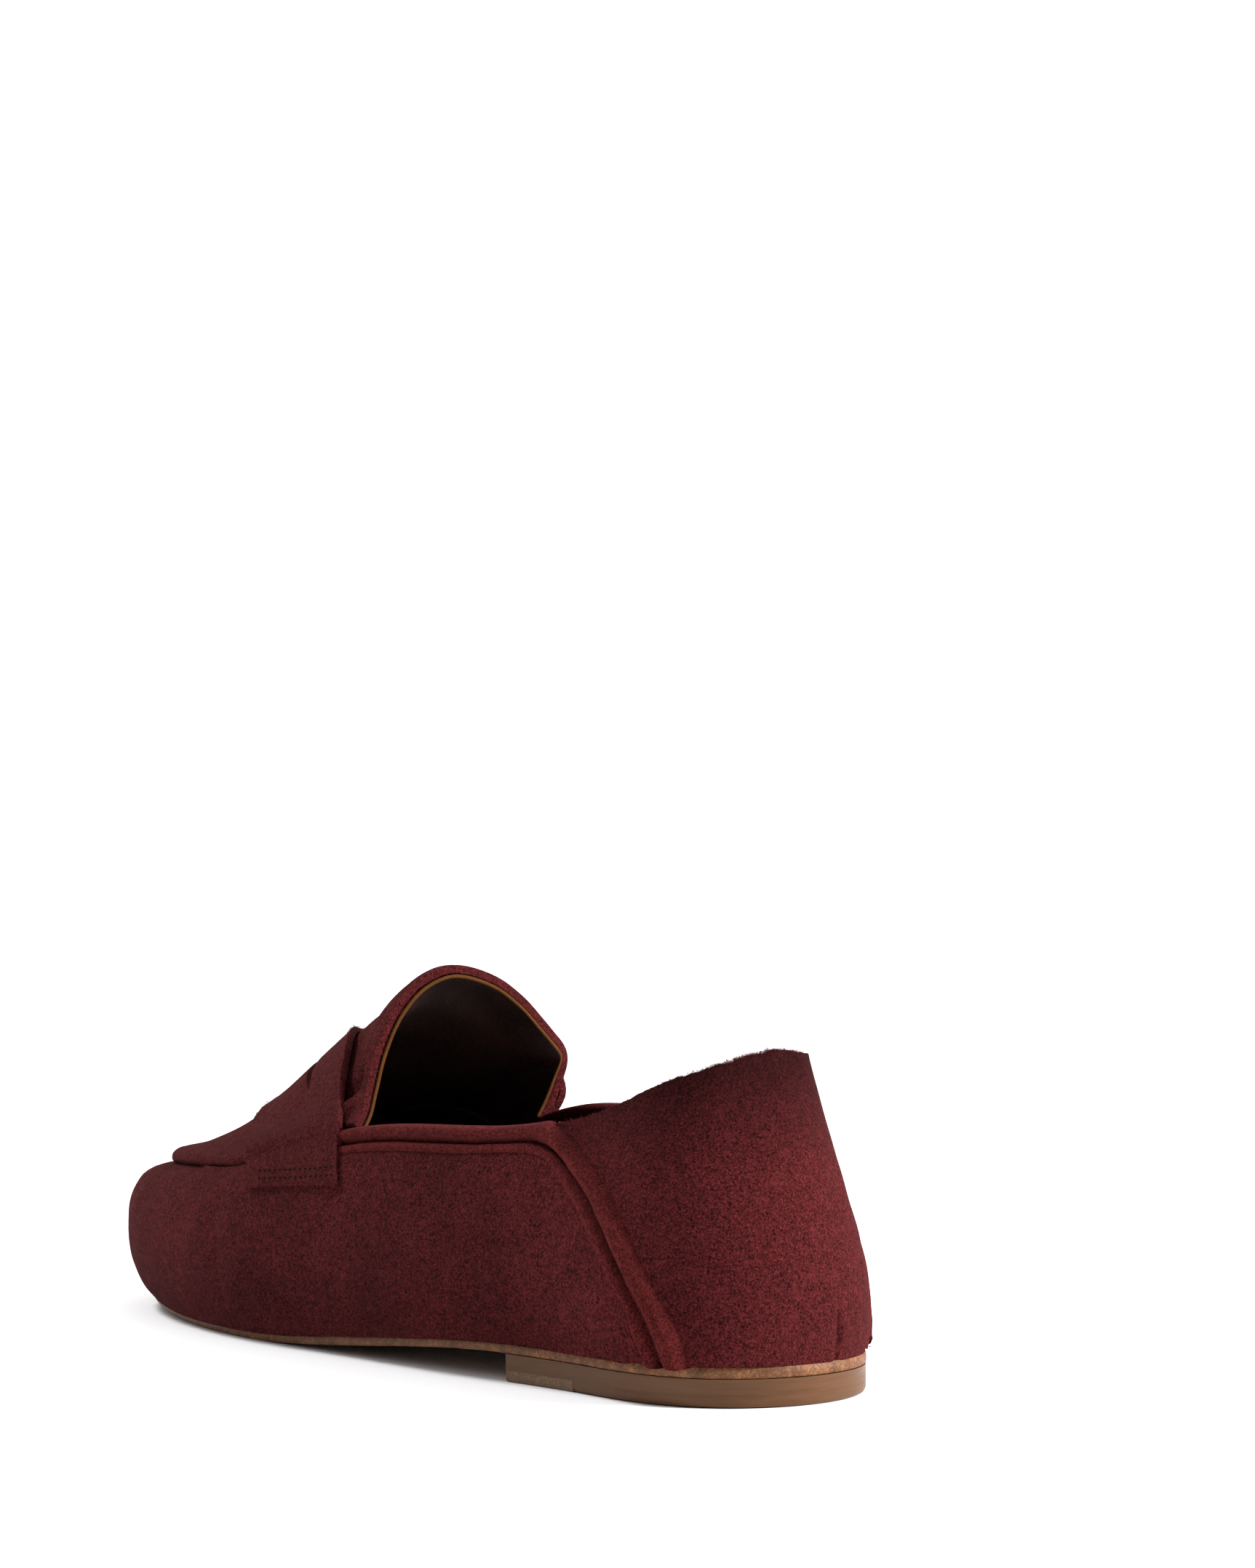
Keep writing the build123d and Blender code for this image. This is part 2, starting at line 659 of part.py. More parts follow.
with BuildPart() as quarter_lining_medial:
    loft(lining_slices(np.arange(16.5, COUNT, ROW_STEP)))
    lining_view = quarter_side_view(GROOVE_LINE, -1, LINING)
    extrude(lining_view, amount=HALF_BLOCK, mode=Mode.INTERSECT)
    split(bisect_by=Plane.YZ.offset(VAMP_JOINT), keep=Keep.BOTTOM)

with BuildPart() as vamp_lining:
    loft(lining_slices(np.arange(5.0, 19.0, ROW_STEP)))
    split(bisect_by=Plane.YZ.offset(VAMP_JOINT + GAP), keep=Keep.TOP)

with BuildPart() as toe_puff:
    puff_rows = np.arange(8.0, 16.5, ROW_STEP)
    loft(wall_slices(puff_rows, lambda x: -TOE_PUFF, lambda x: 0.0, low=0.03, high=0.9))
    split(bisect_by=Plane.YZ.offset(TOE_PUFF_X), keep=Keep.TOP)


# ---- The strap ---------------------------------------------------------------------------------------


def wall_crossing(distance, side, share, lift):
    """Where the lifted wall crosses an instep section, at a share of its height: (y, z)."""
    rows = np.linspace(3.0, TOE_ROW - 2, 60) if side > 0 else np.linspace(COUNT - 3.0, TOE_ROW + 2, 60)
    return crossing([form_point(row, share, lift) for row in rows], distance)


RISE_SHARES = np.array([0.0, 0.15, 0.3, 0.45, 0.6, 0.75, 0.9, 1.0])
WALL_SHARES = (0.6, 0.75, 0.9, 1.0)


def strap_slice(distance):
    """A slice of the strap: up the outer wall, over the instep and down the inner wall."""
    outer_rise = instep_half(distance, 1, RISE_SHARES)
    inner_rise = instep_half(distance, -1, RISE_SHARES)
    amounts = STRAP_LIFT + STRAP_EASE * (1 - RISE_SHARES)
    amounts = np.array([*amounts, *amounts[-2::-1]])[:, None]
    arch = lifted(in_plane(outer_rise + inner_rise[-2::-1]), amounts)
    outer_wall = [wall_crossing(distance, 1, share, APRON_LIP + 2 * GAP) for share in WALL_SHARES]
    inner_wall = [wall_crossing(distance, -1, share, APRON_LIP + INNER_ROOM) for share in WALL_SHARES]
    outer_wall.append(outer_wall[-1] + (0, SUEDE + GAP))
    inner_wall.append(inner_wall[-1] + (0, SUEDE + GAP))
    inner = np.array([*in_plane(outer_wall), *arch[1:-1], *in_plane(inner_wall)[::-1]])
    return slice_between(instep_plane(distance), inner, lifted(inner, SUEDE))


def strap_plan():
    """The strap's outline in plan."""
    front = chevron(STRAP_FRONT)
    back = chevron(STRAP_BACK)
    with BuildSketch() as plan:
        with BuildLine():
            Spline(*front)
            Line(front[-1], back[-1])
            Spline(*back[::-1])
            Line(back[0], front[0])
        make_face()
    return plan.sketch


def slot_plan():
    """The slot across the strap, bowed with it and pointed at its ends."""
    ys = np.linspace(-SLOT_HALF, SLOT_HALF, 9)
    points = [SLOT_MIDDLE - SLOT_SWEEP * abs(y) ** 1.5 for y in ys]
    widths = [SLOT_WIDTH / 2 * (1 - (y / SLOT_HALF) ** 2) ** 0.5 for y in ys]
    front = [(a - SKEW * y + w, y) for a, y, w in zip(points, ys, widths)]
    back = [(a - SKEW * y - w, y) for a, y, w in zip(points, ys, widths)]
    with BuildSketch() as plan:
        with BuildLine():
            Spline(*front)
            Spline(*back[::-1])
        make_face()
    return plan.sketch


with BuildPart() as penny_strap:
    loft([strap_slice(distance) for distance in np.arange(100.0, 190.0, SECTION_STEP)])
    extrude(strap_plan(), amount=ABOVE, mode=Mode.INTERSECT)
    with BuildSketch(Plane.XZ) as above_hem:
        with BuildLine():
            Polyline(*STRAP_HEM, (170.0, ABOVE), (60.0, ABOVE), close=True)
        make_face()
    extrude(above_hem.sketch, amount=HALF_BLOCK, both=True, mode=Mode.INTERSECT)
    extrude(slot_plan(), amount=ABOVE, mode=Mode.SUBTRACT)


# ---- Write the pieces --------------------------------------------------------------------------------

PIECES = {
    "outsole": outsole,
    "heel_lift": heel_lift,
    "heel_top_rubber": heel_top_rubber,
    "heel_top_leather": heel_top_leather,
    "heel_nails": heel_nails,
    "bottom_filler": bottom_filler,
    "shank": shank,
    "insole_board": insole_board,
    "heel_cushion": heel_cushion,
    "sock_lining": sock_lining,
    "side_wall": side_wall,
    "collar_binding_lateral": collar_binding_lateral,
    "collar_binding_medial": collar_binding_medial,
    "heel_back_surround": heel_back_surround,
    "heel_back_flap": heel_back_flap,
    "apron": apron,
    "tongue": tongue,
    "apron_lining": apron_lining,
    "tongue_lining": tongue_lining,
    "quarter_lining_lateral": quarter_lining_lateral,
    "quarter_lining_medial": quarter_lining_medial,
    "vamp_lining": vamp_lining,
    "toe_puff": toe_puff,
    "penny_strap": penny_strap,
}

os.makedirs("parts", exist_ok=True)
for name, piece in PIECES.items():
    piece.part.label = name
    export_step(piece.part, f"parts/{name}.step")
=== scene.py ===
import math

import bmesh
import bpy
import numpy as np
from mathutils import Matrix, Vector


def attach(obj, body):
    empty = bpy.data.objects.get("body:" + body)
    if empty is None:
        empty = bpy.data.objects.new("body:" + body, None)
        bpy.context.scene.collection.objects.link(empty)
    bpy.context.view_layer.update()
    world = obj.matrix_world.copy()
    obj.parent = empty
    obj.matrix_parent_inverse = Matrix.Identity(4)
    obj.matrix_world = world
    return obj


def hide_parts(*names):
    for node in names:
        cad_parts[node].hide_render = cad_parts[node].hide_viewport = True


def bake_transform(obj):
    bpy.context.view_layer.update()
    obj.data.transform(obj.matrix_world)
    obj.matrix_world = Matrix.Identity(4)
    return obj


# Women's left-foot penny loafer in burgundy suede. Lengths are millimetres; meshes are in metres.
# The upper's form is the part's own: the wall leans in round the sole's outline, and arched sections
# cross the instep. Pieces are thin layers of that form with soft edges. The outlines of the strap and of
# the collar's band follow the photo more closely than the part's.

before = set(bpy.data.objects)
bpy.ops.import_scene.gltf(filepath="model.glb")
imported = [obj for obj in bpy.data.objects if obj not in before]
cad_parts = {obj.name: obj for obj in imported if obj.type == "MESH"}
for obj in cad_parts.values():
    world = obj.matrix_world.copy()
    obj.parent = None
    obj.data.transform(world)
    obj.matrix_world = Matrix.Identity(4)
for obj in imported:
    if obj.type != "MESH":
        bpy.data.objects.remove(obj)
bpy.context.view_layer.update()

MM = 0.001

# ---- The form, as the part has it ----------------------------------------------------------------------

HEEL_HEIGHT = 5.8
OUTSOLE = 2.6
TOP_PIECE = 2.4
HEEL_BREAST = 36.0
BREAST_HOLLOW = 3.0
TOP_PIECE_JOINT = 15.0
TREAD_START = 128.0
TREAD_END = 150.0
TOE_X = 223.6
TOE_SPRING = 6.0
GAP = 0.1
SUEDE = 1.8
BACK_SUEDE = 1.5
THROAT = 105.8
SKEW = 0.283
COLLAR_FRONT = 96.5
INNER_COLLAR_FRONT = 113.0
SEAM_HOLD = 197.0

# The sole's edge (x, y), the height of the form's top edge, and how far the form stands out from the
# sole's edge at a third of its height, at two thirds and at the top. Outer side first, from heel to toe.
STATIONS = np.array([
    (-27.5, 0.0, 70.5, 4.2, -10.0, -15.7),
    (-21.1, 17.7, 67.5, 4.0, -9.0, -14.0),
    (-5.0, 27.0, 63.3, 3.5, -5.0, -9.0),
    (18.0, 29.5, 55.6, 3.4, -1.8, -5.2),
    (50.0, 34.3, 51.7, 3.8, -0.6, -4.6),
    (82.0, 38.2, 50.0, 4.0, 0.2, -4.8),
    (112.0, 41.2, 44.5, 4.8, 1.0, -4.6),
    (136.0, 42.8, 39.0, 5.6, 1.4, -4.4),
    (160.0, 40.8, 37.2, 6.2, 1.4, -4.8),
    (185.0, 35.2, 35.8, 6.8, 1.2, -5.2),
    (205.0, 25.6, 34.6, 7.2, 0.9, -5.8),
    (218.5, 10.8, 34.0, 7.4, 0.4, -6.8),
    (223.6, -4.0, 33.8, 7.4, 0.2, -7.4),
    (219.5, -18.0, 34.2, 7.2, 0.4, -7.0),
    (206.5, -31.0, 35.0, 6.8, 0.8, -6.2),
    (184.5, -40.5, 36.2, 6.2, 1.0, -5.6),
    (157.5, -44.0, 38.6, 5.6, 1.0, -5.2),
    (127.5, -39.8, 45.0, 4.6, 0.6, -6.0),
    (95.0, -32.0, 51.0, 3.8, 0.4, -3.8),
    (62.0, -27.6, 52.0, 3.6, 0.2, -3.0),
    (30.0, -27.2, 52.6, 3.4, -0.6, -3.4),
    (2.0, -27.7, 61.5, 3.4, -4.4, -8.0),
    (-20.0, -18.9, 67.3, 4.0, -9.0, -14.0),
])
COUNT = len(STATIONS)
TOE_ROW = 12
BACK_FOOT_INSET = -0.6
WALL_FOOT_INSET = -2.3

# Distance along the shoe, the ridge (y, z), then the handles of the section's outer and inner halves.
INSTEP = np.array([
    (THROAT, -1.5, 82.2, 0.35, 0.22, 0.65, 0.0, -0.47, 0.35, 1.11, -0.235),
    (118.0, -1.0, 79.8, 0.36, 0.17, 0.58, 0.0, -0.25, 0.30, 0.90, -0.15),
    (136.0, 0.5, 71.2, 0.34, 0.10, 0.44, 0.0, 0.05, 0.15, 0.60, -0.04),
    (156.0, 1.5, 58.5, 0.30, 0.05, 0.36, 0.0, 0.18, 0.08, 0.42, 0.0),
    (178.0, 1.5, 46.8, 0.32, 0.10, 0.38, 0.0, 0.28, 0.10, 0.42, 0.0),
    (196.0, 0.0, 39.4, 0.34, 0.30, 0.42, 0.0, 0.33, 0.30, 0.45, 0.0),
    (212.0, -2.0, 34.8, 0.34, 0.40, 0.42, 0.0, 0.34, 0.40, 0.45, 0.0),
    (228.0, -3.0, 32.2, 0.34, 0.40, 0.42, 0.0, 0.34, 0.40, 0.45, 0.0),
])

# Outlines. The rolled edge, its groove and the strap's hem are places in side view (x, z). The others are
# distances along the shoe, each at a number of millimetres to the side.
EDGE_LINE = [(-16.0, 6.0), (-15.0, 15.0), (-10.5, 23.0), (-3.0, 33.0), (4.5, 41.3), (14.5, 47.7)]
GROOVE_LINE = [(-9.5, 6.0), (-5.5, 17.0), (-2.0, 22.5), (6.4, 33.0), (16.0, 41.5), (27.0, 47.2)]
STRAP_BACK = [(144.3, 0.0), (139.4, 7.0), (130.4, 15.0), (119.4, 24.0)]
STRAP_BACK += [(110.6, 33.0), (101.9, 42.0), (94.8, 48.0)]
STRAP_FRONT = [(172.0, 0.0), (168.0, 9.0), (161.5, 20.0), (154.0, 30.0), (145.8, 38.0), (134.6, 48.0)]
STRAP_HEM = [(60.0, 40.6), (93.0, 36.9), (131.0, 33.3), (170.0, 30.2)]
TONGUE_JOINT = [(168.0, 0.0), (163.0, 10.0), (154.0, 20.0), (144.0, 30.0), (134.0, 38.0), (124.0, 48.0)]
COLLAR_BAND = 5.7
SLOT_MIDDLE = 152.7
SLOT_SWEEP = 0.147
SLOT_HALF = 30.0
SLOT_WIDTH = 4.6
INNER_SHIFT = 8.0  # the strap lies this much further forward on the inner side
INNER_PULL = 3.0  # and its front edge there lies this much nearer the ankle
HEM_ROWS = (2.0, 4.0)  # how far the two rows of stitches lie from the strap's hem
HEM_STITCH = (2.0, 1.15, 0.2, 0.02)  # pitch, length, radius, and how deep it sinks in the suede
THROAT_STITCH = (2.6, 1.7, 0.2, 0.1)
GROOVE_STITCH = (2.4, 1.5, 0.17, 0.1)
BACK_FIBRES = 24000
BACK_EDGE_FIBRES = 9000
THROAT_FIBRES = 1300
STRAP_FIBRES = 1500
HEM_FIBRES = 700
BAND_FIBRES = 1600
STRAP_LIFT = 2.15
STRAP_EASE = 1.2
STRAP_SUEDE = 1.7
STRAP_ROOM = 3.0  # how far the strap's underside lies off the wall's form
APRON_START = 129.0  # how far along the shoe the apron's ends lie
APRON_FAN = 188.0  # the apron's rows fan out round the toe from here
THROAT_SEAM = 4.2  # how far the throat's stitches lie from its edge
DART_Y = -6.7  # where the dart stands at the foot of the soft back


def ease(value, start, end):
    """Goes smoothly from 0 at the start to 1 at the end."""
    share = np.clip((np.asarray(value, float) - start) / (end - start), 0, 1)
    return share * share * (3 - 2 * share)


def bump(value, centre, width):
    """A smooth bump of height 1."""
    return np.exp(-(((value - centre) / width) ** 2))


def closed_spline_bends(rows, steps):
    """Second derivatives of the smooth closed curve through the rows."""
    count = len(rows)
    matrix = np.zeros((count, count))
    right = np.zeros_like(rows)
    for i in range(count):
        after = steps[i]
        before = steps[i - 1]
        matrix[i, i - 1] += before / 6
        matrix[i, i] += (before + after) / 3
        matrix[i, (i + 1) % count] += after / 6
        right[i] = (rows[(i + 1) % count] - rows[i]) / after - (rows[i] - rows[i - 1]) / before
    return np.linalg.solve(matrix, right)


STEPS = np.linalg.norm(np.roll(STATIONS, -1, 0)[:, :2] - STATIONS[:, :2], axis=1) ** 0.5
BENDS = closed_spline_bends(STATIONS, STEPS)


def form_at(row):
    """The station values at row numbers, which may lie between rows."""
    row = np.asarray(row, float)
    i = np.floor(row).astype(int) % COUNT
    j = (i + 1) % COUNT
    b = (row - np.floor(row))[..., None]
    a = 1 - b
    straight = a * STATIONS[i] + b * STATIONS[j]
    curved = (a**3 - a) * BENDS[i] + (b**3 - b) * BENDS[j]
    return straight + curved * STEPS[i][..., None] ** 2 / 6


def outward(row):
    """The horizontal directions out of the shoe at row numbers."""
    ahead = form_at(np.asarray(row) + 0.01)[..., :2] - form_at(np.asarray(row) - 0.01)[..., :2]
    side = np.stack([-ahead[..., 1], ahead[..., 0]], axis=-1)
    return side / np.linalg.norm(side, axis=-1, keepdims=True)


def sole_bottom(x):
    """The underside of the outsole: level over the heel, down to the tread, and up to the toe."""
    x = np.asarray(x, float)
    waist = HEEL_HEIGHT * (1 - ease(x, HEEL_BREAST, TREAD_START))
    toe = TOE_SPRING * np.maximum(0.0, (x - TREAD_END) / (TOE_X - TREAD_END)) ** 2
    return np.where(x < TREAD_START, waist, toe)


def bezier(points, share):
    """A point of the cubic curve with two ends and two handles."""
    a = 1 - share
    b = share
    first, second, third, fourth = points
    return a**3 * first + 3 * a * a * b * second + 3 * a * b * b * third + b**3 * fourth


def wall_point(row, share, lift=0.0):
    """Points of the form's wall at row numbers and shares of its height, moved outward by a lift."""
    values = form_at(row)
    x = values[..., 0]
    inset = BACK_FOOT_INSET + (WALL_FOOT_INSET - BACK_FOOT_INSET) * ease(x, -12.0, 30.0)
    foot = sole_bottom(x) + OUTSOLE + GAP
    out = bezier((inset, values[..., 3], values[..., 4], values[..., 5]), share) + lift
    plan = values[..., :2] + outward(row) * out[..., None]
    height = foot + (values[..., 2] - foot) * share
    return np.concatenate([plan, height[..., None]], axis=-1)


def wall_place(x, z, side):
    """The row number and share of height where the wall is at a place in side view."""
    row = float(np.interp(x, *side_rows(side)))
    for _ in range(12):
        top = form_at(row)[2]
        foot = float(sole_bottom(form_at(row)[0])) + OUTSOLE + GAP
        share = (z - foot) / (top - foot)
        here = wall_point(row, share)[0]
        slope = (wall_point(row + 0.02, share)[0] - here) / 0.02
        row += float((x - here) / slope)
    return row, share


def flank(side, behind, before, count):
    """Row numbers along one side, from near the middle of the back to near the toe."""
    if side > 0:
        return np.linspace(behind, TOE_ROW - before, count)
    return np.linspace(COUNT - behind, TOE_ROW + before, count)


def side_rows(side):
    """Sole edge x against row number over one side, in rising x."""
    rows = flank(side, 0.3, 0.5, 80)
    return form_at(rows)[:, 0], rows


RIM = {side: wall_point(flank(side, 0, 0, 200), 1.0) for side in (1, -1)}


def rim_height(x, side):
    return float(np.interp(x, RIM[side][:, 0], RIM[side][:, 2]))


def rim_reach(side):
    """Distance along the shoe of the rim against row number, in rising distance."""
    return RIM[side][:, 0] + SKEW * RIM[side][:, 1], flank(side, 0, 0, 200)


def instep_at(distance):
    """The instep's ridge and handles at distances along the shoe, smoothly between the stations."""
    distance = np.asarray(distance, float)
    slopes = np.gradient(INSTEP, INSTEP[:, 0], axis=0)
    i = np.clip(np.searchsorted(INSTEP[:, 0], distance) - 1, 0, len(INSTEP) - 2)
    step = (INSTEP[i + 1, 0] - INSTEP[i, 0])[..., None]
    b = (distance - INSTEP[i, 0])[..., None] / step
    first = INSTEP[i] + slopes[i] * step / 3
    second = INSTEP[i + 1] - slopes[i + 1] * step / 3
    return bezier((INSTEP[i], first, second, INSTEP[i + 1]), b)


def seam_at(distance, side):
    """Where the rim crosses the instep sections: y and z."""
    rim = RIM[side]
    reached = rim_reach(side)[0]
    held = np.minimum(distance, SEAM_HOLD)
    drop = np.maximum(0.0, np.asarray(distance) - SEAM_HOLD) * 0.05
    return np.interp(held, reached, rim[:, 1]), np.interp(held, reached, rim[:, 2]) - drop


def instep_half(distance, side, share):
    """Points of the form's instep, from the seam (share 0) up to the ridge (share 1)."""
    values = instep_at(distance)
    ridge_y = values[..., 1]
    ridge_z = values[..., 2]
    first = 3 if side > 0 else 7
    low_y, low_z, high_y, high_z = (values[..., first + k] for k in range(4))
    seam_y, seam_z = seam_at(distance, side)
    width = np.abs(seam_y - ridge_y)
    height = ridge_z - seam_z
    y = bezier((seam_y, seam_y - side * low_y * width, ridge_y + side * high_y * width, ridge_y), share)
    z = bezier((seam_z, seam_z + low_z * height, ridge_z + high_z * height, ridge_z), share)
    return np.stack([distance - SKEW * y, y, z], axis=-1)


def instep_point(distance, across):
    """Points of the instep by distance along the shoe and by -1 (inner seam) to 1 (outer seam)."""
    outer = instep_half(distance, 1, 1 - np.abs(across))
    inner = instep_half(distance, -1, 1 - np.abs(across))
    return np.where((across >= 0)[..., None], outer, inner)


def instep_height(x, y):
    """The height of the instep over places in plan, in front of the throat."""
    x, y = np.broadcast_arrays(np.asarray(x, float), np.asarray(y, float))
    heights = np.zeros(x.shape)
    shares = np.linspace(0, 1, 40)
    for index in np.ndindex(x.shape):
        distance = x[index] + SKEW * y[index]
        side = 1 if y[index] > instep_at(distance)[1] else -1
        section = instep_half(np.full(40, distance), side, shares)
        order = section[:, 1] * -side
        heights[index] = np.interp(y[index] * -side, order, section[:, 2])
    return heights


# ---- Curves and grids ----------------------------------------------------------------------------------


def measured(points):
    """Length along a line of points."""
    return np.concatenate([[0], np.cumsum(np.linalg.norm(np.diff(points, axis=0), axis=1))])


def at_length(length, lengths, points):
    """The place along a line of points, or the value there, at a length."""
    return np.array([np.interp(length, lengths, points[:, k]) for k in range(points.shape[1])])


def smooth_path(points, count):
    """A smooth curve through the points, evenly spaced."""
    points = np.array(points, float)
    ends = np.vstack([2 * points[0] - points[1], points, 2 * points[-1] - points[-2]])
    dense = []
    for i in range(1, len(ends) - 2):
        b = np.linspace(0, 1, 24, endpoint=False)[:, None]
        p0, p1, p2, p3 = ends[i - 1 : i + 3]
        bend = 2 * p0 - 5 * p1 + 4 * p2 - p3
        dense.append(p1 + 0.5 * b * (p2 - p0 + b * (bend + b * (3 * (p1 - p2) + p3 - p0))))
    dense.append(points[-1:])
    dense = np.concatenate(dense)
    length = measured(dense)
    even = np.linspace(0, length[-1], count)
    return at_length(even, length, dense).T


def unit(vectors):
    return vectors / np.maximum(np.linalg.norm(vectors, axis=-1, keepdims=True), 1e-9)


def grid_normals(grid):
    """Normals of a grid of points."""
    return unit(np.cross(np.gradient(grid, axis=0), np.gradient(grid, axis=1)))


def waves(points, size, seed):
    """A smooth random field over points, about -1 to 1, with features of the given size."""
    random = np.random.default_rng(seed)
    total = np.zeros(points.shape[:-1])
    for _ in range(9):
        direction = unit(random.normal(size=3))
        phase = random.uniform(0, math.tau)
        total += np.sin(points @ direction * math.tau / (size * random.uniform(0.7, 1.6)) + phase)
    return total / 4


def placed(name, data):
    """A new object of the scene."""
    thing = bpy.data.objects.new(name, data)
    bpy.context.scene.collection.objects.link(thing)
    return thing


def new_object(name, vertices, faces, material):
    """A smooth mesh object from points in millimetres."""
    mesh = bpy.data.meshes.new(name)
    mesh.from_pydata((np.asarray(vertices, float) * MM).tolist(), [], faces)
    mesh.validate()
    mesh.materials.append(material)
    mesh.polygons.foreach_set("use_smooth", [True] * len(mesh.polygons))
    return placed(name, mesh)


def grid_faces(rows, columns, closed=False, start=0):
    """Quads of a grid of vertices, numbered row by row. Closed rows join end to end."""
    faces = []
    for near in range(start, start + (rows - 1) * columns, columns):
        for j in range(columns if closed else columns - 1):
            k = (j + 1) % columns
            faces.append((near + j, near + columns + j, near + columns + k, near + k))
    return faces


def tube_faces(rows, columns, start=0):
    """Quads of a grid of closed rows, with a face over the first row and one over the last."""
    last = start + (rows - 1) * columns
    ends = [tuple(range(first, first + columns)) for first in (start, last)]
    return grid_faces(rows, columns, closed=True, start=start) + ends


def edit(piece, *changes):
    """Lets functions change the piece's mesh, one after another."""
    work = bmesh.new()
    work.from_mesh(piece.data)
    for change in changes:
        change(work)
    work.to_mesh(piece.data)
    work.free()


def apply_modifiers(piece):
    """Turns the modified shape into the piece's own mesh."""
    bpy.context.view_layer.update()
    graph = bpy.context.evaluated_depsgraph_get()
    mesh = bpy.data.meshes.new_from_object(piece.evaluated_get(graph))
    piece.modifiers.clear()
    piece.data = mesh


def sheet(name, grid, thickness, material, round_edge=0.45, flip=False):
    """A sheet with rounded edges. The grid is its outer face, and the thickness goes inward."""
    rows, columns = grid.shape[:2]
    faces = grid_faces(rows, columns)
    if flip:
        faces = [face[::-1] for face in faces]
    piece = new_object(name, grid.reshape(-1, 3), faces, material)
    weld(piece)
    thicken(piece, thickness, round_edge)
    return piece


def weld(piece, distance=0.01 * MM):
    """Merges points that lie on each other."""
    edit(
        piece,
        lambda work: bmesh.ops.remove_doubles(work, verts=work.verts, dist=distance),
        lambda work: bmesh.ops.dissolve_degenerate(work, edges=work.edges, dist=distance),
    )


def recalculate(piece):
    """Makes the normals of a closed mesh point out."""
    edit(piece, lambda work: bmesh.ops.recalc_face_normals(work, faces=work.faces))


def close_holes(piece):
    """Puts a face over every open loop of edges."""
    edit(piece, lambda work: bmesh.ops.holes_fill(work, edges=work.edges, sides=0))


def face_up(work):
    """Turns an open surface's faces so that its highest one looks up."""
    work.normal_update()
    top = max(work.faces, key=lambda face: face.calc_center_median().z)
    if top.normal.z < 0:
        bmesh.ops.reverse_faces(work, faces=work.faces)


def soften(piece):
    """Rounds a closed mesh by one level of subdivision."""
    smoother = piece.modifiers.new("smooth", "SUBSURF")
    smoother.levels = 1
    smoother.render_levels = 1
    apply_modifiers(piece)


def thicken(piece, thickness, round_edge):
    """Gives an open surface its thickness, inward, and rounds the edges."""
    solid = piece.modifiers.new("solid", "SOLIDIFY")
    solid.thickness = thickness * MM
    solid.offset = -1
    solid.use_even_offset = False
    if round_edge:
        bevel = piece.modifiers.new("bevel", "BEVEL")
        bevel.width = round_edge * MM
        bevel.segments = 3
        bevel.limit_method = "ANGLE"
        bevel.angle_limit = math.radians(50)
    apply_modifiers(piece)
    piece.data.polygons.foreach_set("use_smooth", [True] * len(piece.data.polygons))


def loops_solid(name, loops, material):
    """A closed solid through stacked loops of points, capped by strips across paired points."""
    rows = len(loops)
    columns = len(loops[0])
    faces = grid_faces(rows, columns, closed=True)
    for start, order in ((0, 1), ((rows - 1) * columns, -1)):
        for k in range(columns // 2):
            corners = (k, (k + 1) % columns, columns - 2 - k, columns - 1 - k)
            quad = list(dict.fromkeys(start + corner for corner in corners))
            if len(quad) > 2:
                faces.append(tuple(quad[::order]))
    piece = new_object(name, np.concatenate(loops), faces, material)
    recalculate(piece)
    sharpen(piece, 40)
    return piece


def sharpen(piece, degrees):
    """Keeps the corners sharper than an angle crisp in smooth shading."""

    def crease(work):
        for edge in work.edges:
            if len(edge.link_faces) == 2 and edge.calc_face_angle(0.0) > math.radians(degrees):
                edge.smooth = False

    edit(piece, crease)


# ---- Materials -----------------------------------------------------------------------------------------


def set_inputs(node, **values):
    """Sets a node's inputs by name, with an underscore for a space."""
    for socket, value in values.items():
        node.inputs[socket.replace("_", " ")].default_value = value


